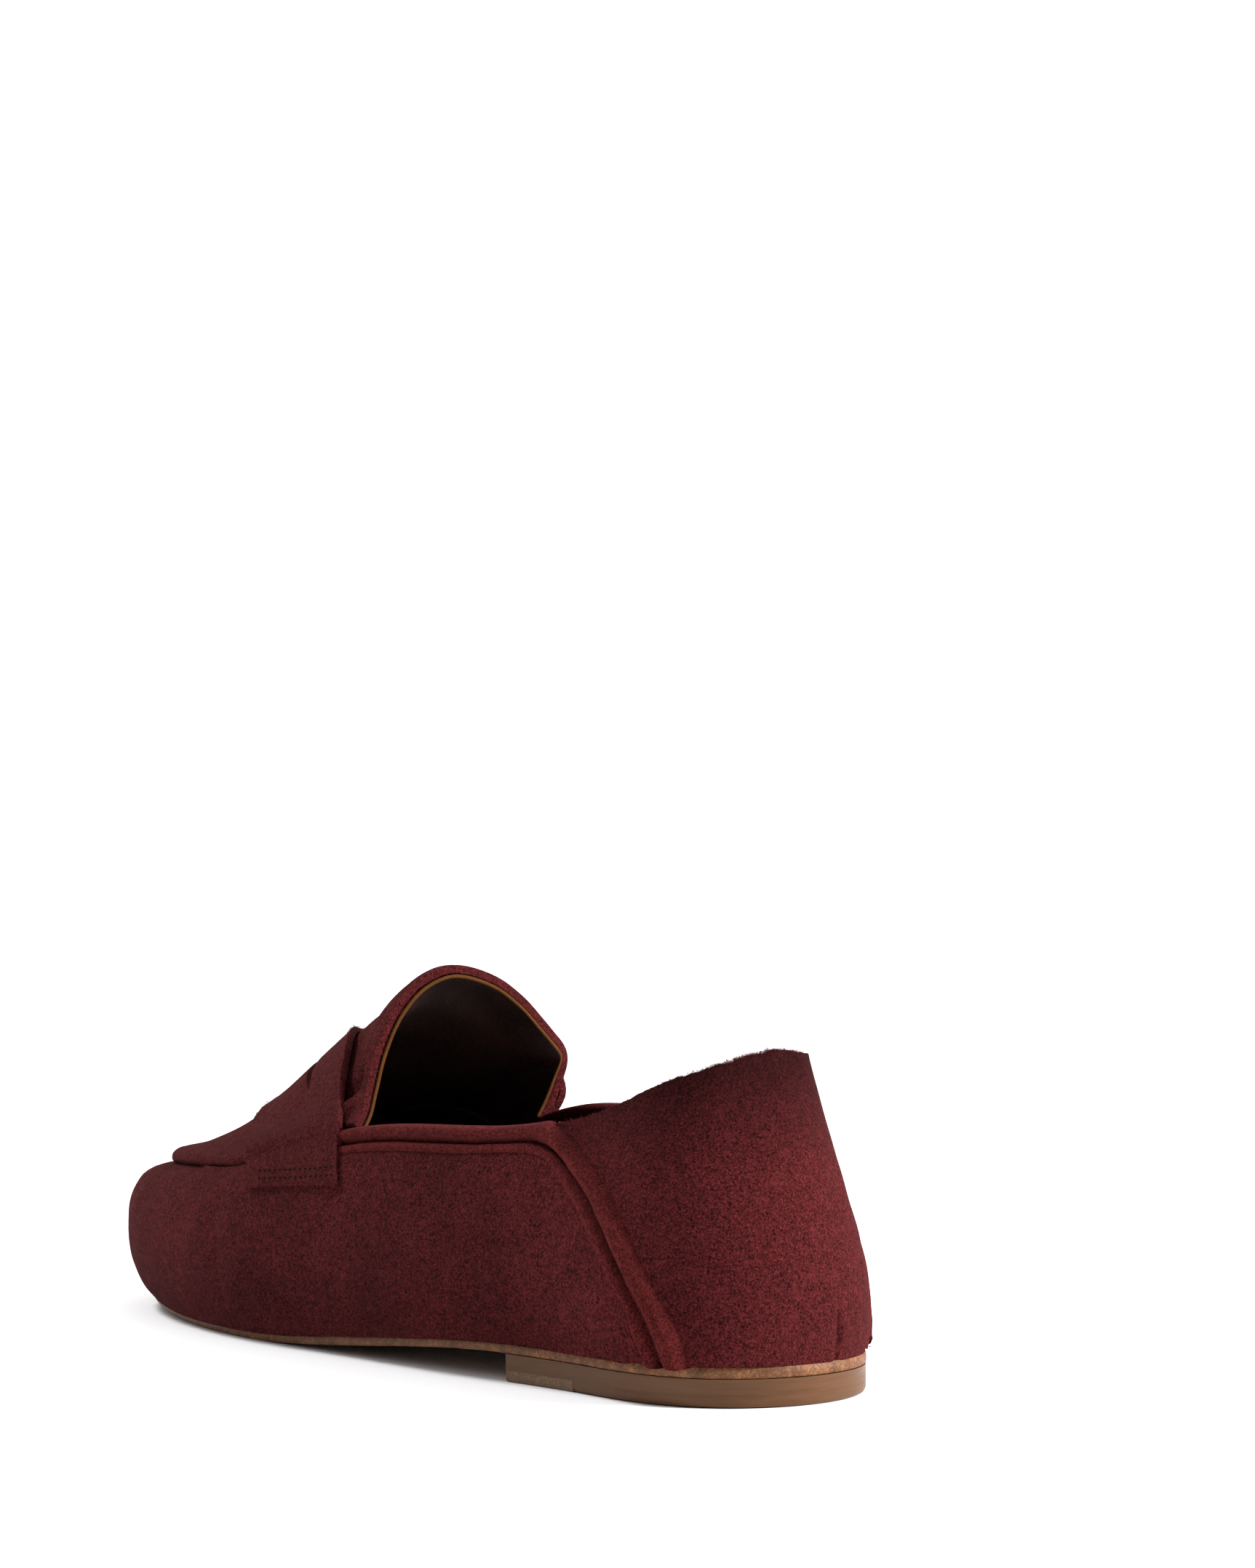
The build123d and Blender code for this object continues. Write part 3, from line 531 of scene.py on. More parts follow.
class Nodes:
    """Short calls to build a material's nodes."""

    def __init__(self, name, roughness, sheen=0.0, specular=0.5):
        self.material = bpy.data.materials.new(name)
        self.material.use_nodes = True
        self.tree = self.material.node_tree
        self.shader = self.tree.nodes["Principled BSDF"]
        set_inputs(self.shader, Roughness=roughness, Specular_IOR_Level=specular, Sheen_Weight=sheen)
        set_inputs(self.shader, Sheen_Roughness=0.45, Sheen_Tint=(0.9, 0.3, 0.27, 1))
        self.place = self.tree.nodes.new("ShaderNodeTexCoord").outputs["Object"]

    def link(self, output, node, socket):
        self.tree.links.new(output, node.inputs[socket])

    def feed(self, value, node, socket):
        """Links an output to a node's input, or sets the input to a plain value."""
        if hasattr(value, "links"):
            self.link(value, node, socket)
        else:
            node.inputs[socket].default_value = value

    def stretched(self, x, y, z):
        node = self.tree.nodes.new("ShaderNodeMapping")
        set_inputs(node, Scale=(x, y, z))
        self.link(self.place, node, "Vector")
        return node.outputs["Vector"]

    def noise(self, millimetres, detail=2.0, roughness=0.5, place=None, distortion=0.0):
        """Noise with features of about this size."""
        node = self.tree.nodes.new("ShaderNodeTexNoise")
        set_inputs(node, Scale=1000 / millimetres, Detail=detail)
        set_inputs(node, Roughness=roughness, Distortion=distortion)
        self.link(place or self.place, node, "Vector")
        return node.outputs["Fac"]

    def cells(self, millimetres, feature="F1"):
        node = self.tree.nodes.new("ShaderNodeTexVoronoi")
        node.feature = feature
        set_inputs(node, Scale=1000 / millimetres)
        self.link(self.place, node, "Vector")
        return node.outputs["Distance"]

    def ramp(self, value, stops):
        """Colours or greys over a value: (position, colour) pairs."""
        node = self.tree.nodes.new("ShaderNodeValToRGB")
        elements = node.color_ramp.elements
        while len(elements) < len(stops):
            elements.new(0.5)
        for element, (position, colour) in zip(elements, stops):
            element.position = position
            element.color = (*colour, 1) if len(colour) == 3 else (colour[0],) * 3 + (1,)
        self.link(value, node, "Fac")
        return node.outputs["Color"]

    def blend(self, factor, first, second, mode="MIX"):
        node = self.tree.nodes.new("ShaderNodeMix")
        node.data_type = "RGBA"
        node.blend_type = mode
        for value, socket in ((factor, 0), (first, 6), (second, 7)):
            self.feed((*value, 1) if isinstance(value, tuple) else value, node, socket)
        return node.outputs[2]

    def math(self, operation, first, second):
        node = self.tree.nodes.new("ShaderNodeMath")
        node.operation = operation
        self.feed(first, node, 0)
        self.feed(second, node, 1)
        return node.outputs["Value"]

    def bump(self, height, depth):
        node = self.tree.nodes.new("ShaderNodeBump")
        set_inputs(node, Distance=depth * MM, Strength=1.0)
        self.link(height, node, "Height")
        self.link(node.outputs["Normal"], self.shader, "Normal")

    def finish(self, colour, roughness=None):
        self.link(colour, self.shader, "Base Color")
        if roughness is not None:
            self.link(roughness, self.shader, "Roughness")
        return self.material


DARKER_TOP_HEIGHTS = (0.045, 0.066)  # heights between which the back's colour turns darker towards its top, in metres


def suede(name, dark, light, grain, depth, speckle, patches, darker_above=None):
    """Burgundy suede: short fibres that lie in patches, with pale and dark flecks between them."""
    nodes = Nodes(name, 0.95, sheen=0.05, specular=0.03)
    fibres = nodes.noise(grain, 4.0, 0.8, distortion=0.6)
    flecks = nodes.noise(grain * 0.5, 2.0, 0.7, distortion=1.0)
    clumps = nodes.noise(grain * 3.5, 2.0, 0.6)
    lay = nodes.noise(26, 3.0, 0.6, distortion=0.4)
    tone = nodes.ramp(fibres, [(0.4, dark), (0.6, light)])
    tone = nodes.blend(speckle, tone, nodes.ramp(flecks, [(0.36, (0.15,)), (0.66, (0.95,))]), "OVERLAY")
    pale = tuple(1.5 * c + 0.003 for c in light)
    tone = nodes.blend(nodes.ramp(clumps, [(0.5, (0.0,)), (0.8, (0.3,))]), tone, pale)
    shade = nodes.ramp(lay, [(0.32, (1 - patches,)), (0.68, (1.0,))])
    tone = nodes.blend(1.0, tone, shade, "MULTIPLY")
    # Where heights are given, the colour turns darker towards the top between them.
    if darker_above:
        split = nodes.tree.nodes.new("ShaderNodeSeparateXYZ")
        nodes.link(nodes.place, split, "Vector")
        rise = nodes.tree.nodes.new("ShaderNodeMapRange")
        set_inputs(rise, From_Min=darker_above[0], From_Max=darker_above[1])
        nodes.link(split.outputs["Z"], rise, "Value")
        top = nodes.ramp(rise.outputs["Result"], [(0.0, (1.0,)), (1.0, (0.3,))])
        tone = nodes.blend(1.0, tone, top, "MULTIPLY")
    height = nodes.math("ADD", fibres, nodes.math("MULTIPLY", clumps, 0.35))
    nodes.bump(nodes.math("ADD", height, nodes.math("MULTIPLY", flecks, 0.5)), depth)
    return nodes.finish(tone)


def edge_leather(name, dark, light):
    """A sole's finished edge: brown leather with fine cracks and mottling."""
    nodes = Nodes(name, 0.5, specular=0.2)
    mottle = nodes.noise(3.2, 4.0, 0.65)
    fibre = nodes.noise(0.8, 2.0, 0.6, nodes.stretched(1, 1, 3))
    cracks = nodes.cells(1.4, "DISTANCE_TO_EDGE")
    tone = nodes.ramp(mottle, [(0.35, dark), (0.65, light)])
    tone = nodes.blend(0.35, tone, nodes.ramp(fibre, [(0.3, (0.2,)), (0.7, (0.9,))]), "OVERLAY")
    crack = tuple(0.45 * c for c in dark)
    tone = nodes.blend(nodes.ramp(cracks, [(0.0, (0.55,)), (0.12, (0.0,))]), tone, crack)
    nodes.bump(nodes.math("ADD", fibre, nodes.math("MULTIPLY", cracks, 1.2)), 0.12)
    return nodes.finish(tone, nodes.ramp(mottle, [(0.3, (0.42,)), (0.7, (0.62,))]))


def heel_rubber():
    """The heel's smooth satin side, with faint marks of the finishing brush running round it."""
    nodes = Nodes("heel_rubber", 0.4, specular=0.2)
    strokes = nodes.noise(6, 3.0, 0.6, nodes.stretched(0.35, 0.35, 6))
    cloud = nodes.noise(14, 2.0, 0.5)
    tone = nodes.ramp(strokes, [(0.3, (0.082, 0.034, 0.012)), (0.7, (0.118, 0.051, 0.02))])
    tone = nodes.blend(nodes.ramp(cloud, [(0.4, (0.0,)), (0.7, (0.4,))]), tone, (0.08, 0.034, 0.013))
    nodes.bump(nodes.math("ADD", strokes, nodes.math("MULTIPLY", nodes.noise(0.5), 0.3)), 0.06)
    return nodes.finish(tone, nodes.ramp(strokes, [(0.3, (0.33,)), (0.7, (0.5,))]))


def speckled_leather():
    """The top piece's front insert: compressed leather with pale grains."""
    nodes = Nodes("insert_leather", 0.7, specular=0.3)
    grain = nodes.noise(0.45, 3.0, 0.7)
    shades = [(0.35, (0.1, 0.055, 0.027)), (0.55, (0.16, 0.095, 0.052)), (0.75, (0.25, 0.165, 0.1))]
    tone = nodes.ramp(grain, shades)
    nodes.bump(grain, 0.08)
    return nodes.finish(tone)


def smooth_leather(name, dark, light):
    """Lining leather: fine pores and soft creases."""
    nodes = Nodes(name, 0.5, specular=0.35)
    pores = nodes.cells(0.7)
    cloud = nodes.noise(18, 3.0, 0.6)
    tone = nodes.ramp(cloud, [(0.3, dark), (0.7, light)])
    nodes.bump(nodes.math("ADD", pores, nodes.math("MULTIPLY", nodes.noise(5), 0.6)), 0.1)
    return nodes.finish(tone, nodes.ramp(pores, [(0.0, (0.42,)), (0.6, (0.62,))]))


def tan_edge():
    """Natural tan leather seen at its cut edge."""
    nodes = Nodes("tan_lining", 0.95, specular=0.03)
    fibre = nodes.noise(0.5, 3.0, 0.7)
    cloud = nodes.noise(9, 2.0, 0.5)
    tone = nodes.ramp(fibre, [(0.3, (0.045, 0.015, 0.0035)), (0.7, (0.105, 0.038, 0.009))])
    tone = nodes.blend(nodes.ramp(cloud, [(0.4, (0.0,)), (0.75, (0.5,))]), tone, (0.07, 0.026, 0.01))
    nodes.bump(fibre, 0.12)
    return nodes.finish(tone)


def thread():
    """Waxed polyester thread, twisted."""
    nodes = Nodes("thread", 0.8, specular=0.08)
    twist = nodes.noise(0.35, 1.0, 0.5, nodes.stretched(1, 2, 2))
    tone = nodes.ramp(twist, [(0.3, (0.005, 0.0015, 0.0018)), (0.7, (0.016, 0.004, 0.005))])
    nodes.bump(twist, 0.05)
    return nodes.finish(tone)


def fibre():
    """Single suede fibres, paler than the nap they stand out of: partly their own paler cut ends, partly
    painted highlight standing in for the light that thin fibres let through.
    """
    nodes = Nodes("fibre", 0.9, sheen=0.1, specular=0.03)
    colour = nodes.ramp(nodes.noise(1.2, 2.0), [(0.3, (0.07, 0.01, 0.012)), (0.7, (0.19, 0.038, 0.043))])
    nodes.bump(nodes.noise(0.3), 0.02)
    return nodes.finish(colour)


def grained(name, dark, light, size, roughness):
    """A plain grained material for the hidden pieces."""
    nodes = Nodes(name, roughness)
    grain = nodes.noise(size, 3.0, 0.6)
    nodes.bump(grain, 0.15)
    return nodes.finish(nodes.ramp(grain, [(0.35, dark), (0.65, light)]))


# Each suede's darkest and lightest tone, grain, relief, speckle and strength of the nap's patches.
WALL_TONES = ((0.009, 0.001, 0.0013), (0.11, 0.0147, 0.0165))
STRAP_TONES = ((0.012, 0.0017, 0.0018), (0.106, 0.0152, 0.0162))
BINDING_TONES = ((0.026, 0.0038, 0.0038), (0.12, 0.0165, 0.0165))
BACK_TONES = ((0.011, 0.0013, 0.0015), (0.13, 0.0178, 0.02))
SUEDE_FINE = suede("suede", *WALL_TONES, 0.6, 0.4, 0.6, 0.35)
SUEDE_STRAP = suede("suede_strap", *STRAP_TONES, 0.55, 0.4, 0.5, 0.25)
SUEDE_BINDING = suede("binding_suede", *BINDING_TONES, 0.5, 0.25, 0.4, 0.15)
SUEDE_ROUGH = suede("back_suede", *BACK_TONES, 0.5, 0.6, 0.7, 0.15, DARKER_TOP_HEIGHTS)
FIBRE = fibre()
SOLE_EDGE = edge_leather("sole_leather", (0.092, 0.034, 0.012), (0.215, 0.09, 0.037))
HEEL_RUBBER = heel_rubber()
INSERT = speckled_leather()
LINING_DARK = smooth_leather("lining", (0.016, 0.006, 0.0045), (0.032, 0.011, 0.008))
TAN = tan_edge()
THREAD = thread()


# ---- Shoe pieces ---------------------------------------------------------------------------------------


def on_shoe(piece, slot, *nodes):
    """The piece moves with the shoe, and stands for these nodes."""
    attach(piece, "shoe")
    if nodes:
        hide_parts(*nodes)
    return piece


def groove_path(side, count=160):
    """The line under the rolled edge, from the sole up and along the collar: (x, z)."""
    front = COLLAR_FRONT + 12 if side > 0 else INNER_COLLAR_FRONT + 18
    collar = [(x, rim_height(x, side) - COLLAR_BAND) for x in np.arange(50.0, front, 12.0)]
    return smooth_path(GROOVE_LINE + collar, count)


def edge_path(side, count=160):
    """The rolled edge's own line, from the sole up to the collar: (x, z)."""
    front = COLLAR_FRONT + 10 if side > 0 else INNER_COLLAR_FRONT + 16
    collar = [(x, rim_height(x, side)) for x in np.arange(27.0, front, 12.0)]
    return smooth_path(EDGE_LINE + collar, count)


def wall_tops(side):
    """How high the quarter stands under the rolled edge: row numbers and shares."""
    places = [wall_place(x, z + 1.6, side) for x, z in groove_path(side)[::4]]
    places.sort()
    return np.array(places).T


def build_side_wall():
    """The vamp's wall and the two quarters, in one piece round the toe."""
    outer_rows, outer_shares = wall_tops(1)
    inner_rows, inner_shares = wall_tops(-1)
    rows = np.linspace(outer_rows[0], inner_rows[-1], 430)
    outer_top = np.interp(rows, outer_rows, outer_shares, right=1.0)
    inner_top = np.interp(rows, inner_rows, inner_shares, left=1.0)
    tops = np.clip(np.where(rows < TOE_ROW, outer_top, inner_top), 0.015, 1.0)
    shares = np.linspace(0.0, 1.0, 46)
    grid_rows = np.repeat(rows[:, None], len(shares), axis=1)
    grid_shares = tops[:, None] * shares[None, :]
    lift = SUEDE + GAP - 1.5 * ease(grid_shares, 0.8, 1.0) - 0.25 * (1 - ease(grid_shares, 0.0, 0.08))
    base = wall_point(grid_rows, grid_shares)
    # Soft unevenness, and a crease up the side.
    soft = 0.35 * waves(base, 34, 3) + 0.14 * waves(base, 11, 4)
    crease = bump(base[..., 0] - 0.25 * base[..., 2], 128, 3.2) * np.sin(math.pi * grid_shares)
    lift += soft * np.sin(math.pi * shares[None, :]) ** 0.5 - 0.35 * crease
    # The quarter's top edge is drawn in.
    lift -= 0.9 * ease(shares[None, :], 0.955, 0.985) * (1 - ease(base[..., 0], 130, 150))
    # The toe's wall is fuller half way up.
    full = -0.5 + 2.7 * ease(grid_shares, 0.3, 0.76) * (1 - ease(grid_shares, 0.82, 0.94))
    full *= ease(grid_shares, 0.02, 0.2) * (1 - ease(grid_shares, 0.9, 1.0))
    lift += full * ease(base[..., 0], 165, 212)
    # The forepart's top edge is drawn in under the apron's lip.
    lift -= 2.6 * ease(grid_shares, 0.9, 0.96) * ease(base[..., 0], 150, 165)
    grid = wall_point(grid_rows, grid_shares, lift)
    grid[..., 2] -= 1.7 * ease(grid_shares, 0.86, 0.99)
    piece = sheet("vamp_and_quarters", grid, SUEDE, SUEDE_FINE)
    return on_shoe(piece, "suede", "side_wall")


def band_frames(side, count=240):
    """Points on the wall along the rolled edge and along its groove, with the wall's normals."""
    edge = np.array([wall_place(x, z, side) for x, z in edge_path(side, count)])
    groove = np.array([wall_place(x, z, side) for x, z in groove_path(side, count)])
    edge[:, 1] = np.clip(edge[:, 1], 0.0, 1.0)
    groove[:, 1] = np.clip(groove[:, 1], 0.0, 1.0)
    edge_points = wall_point(edge[:, 0], edge[:, 1])
    groove_points = wall_point(groove[:, 0], groove[:, 1])
    middle = (edge[:, 0] + groove[:, 0]) / 2
    share = (edge[:, 1] + groove[:, 1]) / 2
    up = wall_point(middle, share + 0.02) - wall_point(middle, share - 0.02)
    ahead = wall_point(middle + 0.05, share) - wall_point(middle - 0.05, share)
    normals = unit(np.cross(up, ahead))
    return edge_points, groove_points, normals


# The band's section: across it from the edge (0) to the raw lip (1), out from the form, and how much of
# the collar's pull that place takes.
BEAD = np.array([
    (0.02, -0.4, 1.0), (-0.07, 0.5, 0.9), (-0.06, 1.6, 0.6), (0.02, 2.8, 0.4),
    (0.15, 4.0, 0.2), (0.32, 4.5, 0.0), (0.5, 4.0, 0.0), (0.6, 2.4, 0.0),
    (0.64, 0.9, 0.0), (0.68, 2.0, 0.0), (0.75, 3.5, 0.0), (0.88, 4.0, 0.0),
    (1.02, 3.8, 0.0), (1.1, 3.1, 0.0), (1.06, 1.8, 0.0), (0.5, 0.6, 0.5),
])


def build_binding(side):
    """The rolled edge: a soft bead, a groove that the stitches pull in, and the raw lip under it."""
    edge, groove, normals = band_frames(side)
    across, out, taken = BEAD.T
    fullness = 1 - (0.1 if side > 0 else 0.65) * (1 - ease(edge[:, 2], 12, 40))
    pull = (1.7 if side > 0 else 1.0) * ease(edge[:, 0], 20, 40)
    lift = out * fullness[:, None] - taken * pull[:, None]
    rings = edge[:, None] + across[:, None] * (groove - edge)[:, None] + lift[..., None] * normals[:, None]
    rings += 0.12 * waves(rings, 7, 11 + side)[..., None] * normals[:, None]
    name = "binding_outer" if side > 0 else "binding_inner"
    piece = new_object(name, rings.reshape(-1, 3), tube_faces(*rings.shape[:2]), SUEDE_BINDING)
    recalculate(piece)
    soften(piece)
    node = "collar_binding_lateral" if side > 0 else "collar_binding_medial"
    return on_shoe(piece, "binding_suede", node)


# How much higher the back's top edge stands, by row number.
BACK_RISE = [(-3.4, 0.0), (-2.5, 1.0), (-2.0, 2.2), (-1.5, 3.2), (-1.0, 1.4), (-0.4, -0.5)]
BACK_RISE += [(0.1, -1.7), (0.7, -0.8), (1.2, 0.2), (1.8, 0.0), (2.5, -0.9), (3.6, -0.4)]


def back_grid(rows, shares):
    """The soft back's outer face, with its ragged top and the dart at the foot."""
    grid_rows, grid_shares = np.meshgrid(rows, shares, indexing="ij")
    rim = wall_point(grid_rows, 1.0)
    ragged = 0.08 * waves(rim, 6, 21) + 0.14 * waves(rim, 1.5, 22)
    base = wall_point(grid_rows, grid_shares)
    lift = 0.3 * waves(base, 30, 23) + 0.1 * waves(base, 8, 24)
    lift *= ease(grid_shares, 0.0, 0.25)
    lift -= 1.1 * (1 - ease(grid_rows, 0.0, 1.5)) * ease(grid_rows, -3.0, -2.0)
    x, y, z = base.transpose(2, 0, 1)
    dart = bump(y, DART_Y, 0.8) * (1 - ease(z, 14, 21))
    puff = bump(y, DART_Y, 4.5) * (1 - ease(z, 16, 26))
    lift += (0.1 * puff - 1.8 * dart) * (x < 0)
    lift += 0.2 * bump(grid_rows, -1.5, 0.9) * ease(grid_shares, 0.45, 0.85)
    grid = wall_point(grid_rows, grid_shares, lift)
    rise = np.interp(grid_rows, *np.array(BACK_RISE).T)
    grid[..., 2] += rise * ease(grid_shares, 0.5, 1.0) + ragged * ease(grid_shares, 0.93, 1.0)
    return grid


def build_back():
    """The soft back, one piece of rough suede."""
    rows = np.linspace(-3.45, 3.65, 340)
    shares = np.linspace(0.0, 1.0, 90)
    piece = sheet("soft_back", back_grid(rows, shares), BACK_SUEDE, SUEDE_ROUGH, 0.4)
    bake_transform(piece)
    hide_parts("heel_back_surround", "heel_back_flap")
    return piece


def relaxed(grid, times, axis=1):
    """The grid smoothed along one axis, with its ends held."""
    for _ in range(times):
        smooth = (np.roll(grid, 1, axis) + 2 * grid + np.roll(grid, -1, axis)) / 4
        keep = [slice(None)] * grid.ndim
        keep[axis] = slice(1, -1)
        grid[tuple(keep)] = smooth[tuple(keep)]
    return grid


def throat_start(across):
    """Distance along the shoe of the throat's edge: the outer foot runs further back, the inner one less."""
    outer = 5.8 * bump(across, 1.0, 0.22) - 2.2 * bump(across, 0.4, 0.3)
    return THROAT - outer + 5.0 * bump(across, -0.95, 0.3)


# How far the tongue's middle lies under the form, by distance along the shoe.
TONGUE_SAG = [(100, 0.2), (110, 0.4), (114, 1.6), (121, 4.8), (133, 3.9)]
TONGUE_SAG += [(145, 1.8), (150, 3.4), (157, 5.0), (168, 4.0)]


def tongue_base(distance, across):
    """The instep with the tongue's own slack: flatter behind the strap and on the inner shoulder."""
    held = np.maximum(distance, THROAT)
    base = instep_point(held, across)
    base[..., 0] -= held - distance
    sag = np.interp(distance, *np.array(TONGUE_SAG).T) * (1 - ease(np.abs(across), 0.35, 0.85))
    sag = np.maximum(sag, 5.4 * bump(across, -0.4, 0.22) * (1 - ease(distance, 140, 160)))
    base[..., 2] -= sag
    base[..., 1] += 2.6 * ease(-across, 0.45, 0.8) * (1 - ease(distance, 118, 135))
    return relaxed(relaxed(base, 24, 1), 12, 0)


def build_tongue():
    """The tongue in suede over its lining, whose tan edge shows along the throat."""
    along = np.linspace(0, 1, 84) ** 1.15
    across = np.linspace(-1, 1, 131)
    grid_t, grid_a = np.meshgrid(along, across, indexing="ij")
    start = throat_start(grid_a)
    joint_d, joint_y = np.array(TONGUE_JOINT).T
    end = np.interp(np.abs(grid_a) * 46, joint_y, joint_d) + 1.5 + 4.5 * ease(-grid_a, 0.5, 0.8)
    distance = start + (end - start) * grid_t
    base = tongue_base(distance, grid_a)
    normals = grid_normals(base)
    normals *= np.sign(normals[:, len(across) // 2, 2].mean())
    inset = distance - start
    soft = 0.25 * waves(base, 22, 31) + 0.1 * waves(base, 8, 32)
    # The edge swells, the seam pulls in, and a fold runs down the outer side next to a hollow.
    seam = 0.3 * bump(inset, 1.8, 1.4) - 0.5 * bump(inset, THROAT_SEAM, 0.8)
    fold_line = 0.8 + 0.012 * inset
    fold = 1.5 * bump(grid_a, fold_line, 0.05) - 1.6 * bump(grid_a, fold_line - 0.13, 0.07)
    fold *= ease(inset, 1.0, 4.0) * (1 - ease(inset, 16, 24))
    slack = soft + fold
    upper = base + normals * (slack + seam + 0.7 - 0.3 * ease(distance, 146, 156))[..., None]
    tongue = sheet("tongue_suede", upper, SUEDE, SUEDE_STRAP, flip=True)
    under = base + normals * (slack - 0.35)[..., None]
    lining = sheet("tongue_lining_leather", under - (0.4, 0, 0), 0.75, LINING_DARK, 0, flip=True)
    lining.data.materials.append(TAN)
    for face in lining.data.polygons[2 * (len(along) - 1) * (len(across) - 1) :]:
        face.material_index = 1
    on_shoe(tongue, "suede", "tongue")
    on_shoe(lining, "tan_lining", "tongue_lining")
    return upper, normals


def build_apron():
    """The apron: a crowned panel whose padded edge stands over the wall round the toe."""
    first, last = (float(np.interp(APRON_START, *rim_reach(side))) for side in (1, -1))
    rows = np.concatenate([np.linspace(first, TOE_ROW, 100), np.linspace(TOE_ROW, last, 100)[1:]])
    side = np.where(rows <= TOE_ROW, 1.0, -1.0)
    rim = wall_point(rows, 1.0)
    out = np.concatenate([outward(rows), np.zeros((len(rows), 1))], axis=1)
    reach = rim[:, 0] + SKEW * rim[:, 1]
    joint_d, joint_y = np.array(TONGUE_JOINT).T
    spine_d = np.minimum(reach, APRON_FAN)
    spine_y = instep_at(spine_d)[:, 1] + side * np.interp(spine_d, joint_d[::-1], joint_y[::-1], right=0.0)
    spine_y = np.where(side > 0, np.minimum(spine_y, rim[:, 1] - 1.0), np.maximum(spine_y, rim[:, 1] + 1.0))
    spine = np.stack([spine_d - SKEW * spine_y, spine_y], axis=1)
    top = []
    lining = []
    for step in np.concatenate([np.linspace(0, 0.86, 26), [0.9]]):
        plan = spine + (rim[:, :2] - spine) * step
        height = instep_height(plan[:, 0], plan[:, 1])
        distance = plan[:, 0] + SKEW * plan[:, 1]
        front = np.interp(np.abs(plan[:, 1]), *np.array(STRAP_FRONT).T[::-1])
        under_strap = 1 - ease(distance, front - 6, front - 1)
        height += 1.9 - (2.6 + 2.4 * (1 - ease(np.abs(plan[:, 1]), 18, 28))) * under_strap
        top.append(np.column_stack([plan, height]))
        lining.append(np.column_stack([plan, height - 1.0 - 0.7 * (1 - under_strap)]))
    top = np.array(top)
    top[..., 2] += 0.18 * waves(top, 24, 41)
    edge = [(-1.9, 2.9), (-0.9, 2.6), (0.0, 2.15), (0.65, 1.55), (0.95, 0.85), (1.0, 0.1), (0.8, -0.5)]
    edge += [(0.3, -0.85), (-0.5, -0.95), (-1.5, -0.6)]
    swell = 1 + 0.12 * waves(rim, 16, 42)
    lip = np.array([rim + out * (e * swell[:, None]) + (0, 0, h) for e, h in edge])
    lip[..., 2] += 0.12 * waves(lip, 9, 43)
    under = np.array(lining)[::-4]
    grid = np.concatenate([top, lip, under]).transpose(1, 0, 2)
    faces = grid_faces(*grid.shape[:2], closed=True)
    piece = new_object("apron_suede", grid.reshape(-1, 3), faces, SUEDE_STRAP)
    weld(piece)
    close_holes(piece)
    recalculate(piece)
    soften(piece)
    on_shoe(piece, "suede", "apron")
    inside = sheet("apron_lining_leather", np.array(lining) - (0, 0, 0.1), 0.8, LINING_DARK, 0, flip=True)
    on_shoe(inside, "lining", "apron_lining")


def wall_crossing(distance, side, share, lift):
    """Where the lifted wall crosses an instep section, at a share of its height."""
    points = wall_point(flank(side, 3, 2, 120), share, lift)
    reached = points[:, 0] + SKEW * points[:, 1]
    return at_length(distance, reached, points)


def strap_section(distance, side, count=70):
    """One half of a section over which the strap lies, from the ridge down the wall, evenly spaced."""
    share = np.array([1.0, 0.93, 0.82, 0.68, 0.54, 0.4, 0.28, 0.17])
    pair = np.array([distance - 0.5, distance, distance + 0.5])
    grid = np.array([[instep_half(np.float64(d), side, s) for s in share] for d in pair])
    normals = unit(np.cross(grid[2] - grid[0], np.gradient(grid[1], axis=0)))
    normals *= np.sign(normals[:1, 2:])
    # Over the ridge the strap lies lower than the form, and less so towards its back edge.
    ridge = -2.3 + 1.1 * float(ease(distance, 158, 146))
    lift = ridge + (STRAP_LIFT + STRAP_EASE - ridge) * ease(1 - share, 0.05, 0.7)
    arch = grid[1] + normals * lift[:, None]
    if side < 0:
        arch[:, 1] += 3.4 * bump(share, 0.42, 0.3)
    top, *wall = (wall_crossing(distance, side, s, STRAP_ROOM) for s in (1.0, 0.92, 0.78, 0.62, 0.5))
    corner = [top[0], top[1], top[2] + 1.7]
    return smooth_path([*arch, corner, top, *wall], count)


def strap_table(side):
    """The strap's surface by distance along the shoe and by share of the way from ridge to hem."""
    distances = np.arange(92.0, 190.0, 2.0)
    shares = np.linspace(0, 1, 60)
    hem_x, hem_z = np.array(STRAP_HEM).T
    table = []
    for distance in distances:
        section = strap_section(distance, side)
        above = section[:, 2] - np.interp(section[:, 0], hem_x, hem_z)
        below = np.nonzero(above < 0)[0]
        stop = len(section) - 1
        if len(below):
            stop = below[0] - 1 + above[below[0] - 1] / (above[below[0] - 1] - above[below[0]])
        place = np.linspace(0, 1, 70) * 69
        table.append(at_length(shares * stop, place, section))
    return distances, shares, np.array(table).transpose(0, 2, 1)


def strap_grid(side, strips=34):
    """Half of the strap as a grid from its back edge to its front edge, in two parts round the slot."""
    distances, shares, table = strap_table(side)
    back_d, back_y = np.array(STRAP_BACK).T
    front_d, front_y = np.array(STRAP_FRONT).T
    if side < 0:
        back_d = back_d + INNER_SHIFT * ease(back_y, 12, 38)
        front_d = front_d - INNER_PULL * ease(front_y, 4, 24)
    columns = []
    for j in range(len(shares)):
        line = table[:, j]
        reach = np.abs(line[:, 1]) + 3.5 * shares[j] ** 2
        back = crossing(distances, distances - np.interp(reach, back_y, back_d))
        front = crossing(distances, distances - np.interp(reach, front_y, front_d))
        y = float(np.interp((back + front) / 2, distances, reach))
        middle = SLOT_MIDDLE - SLOT_SWEEP * y**1.5
        half = SLOT_WIDTH / 2 * math.sqrt(max(0.0, 1 - (y / SLOT_HALF) ** 2))
        rear = np.linspace(back, middle - half, strips // 2)
        fore = np.linspace(middle + half, front, strips // 2)
        stops = np.concatenate([rear, fore])
        columns.append(at_length(stops, distances, line).T)
    return np.array(columns)


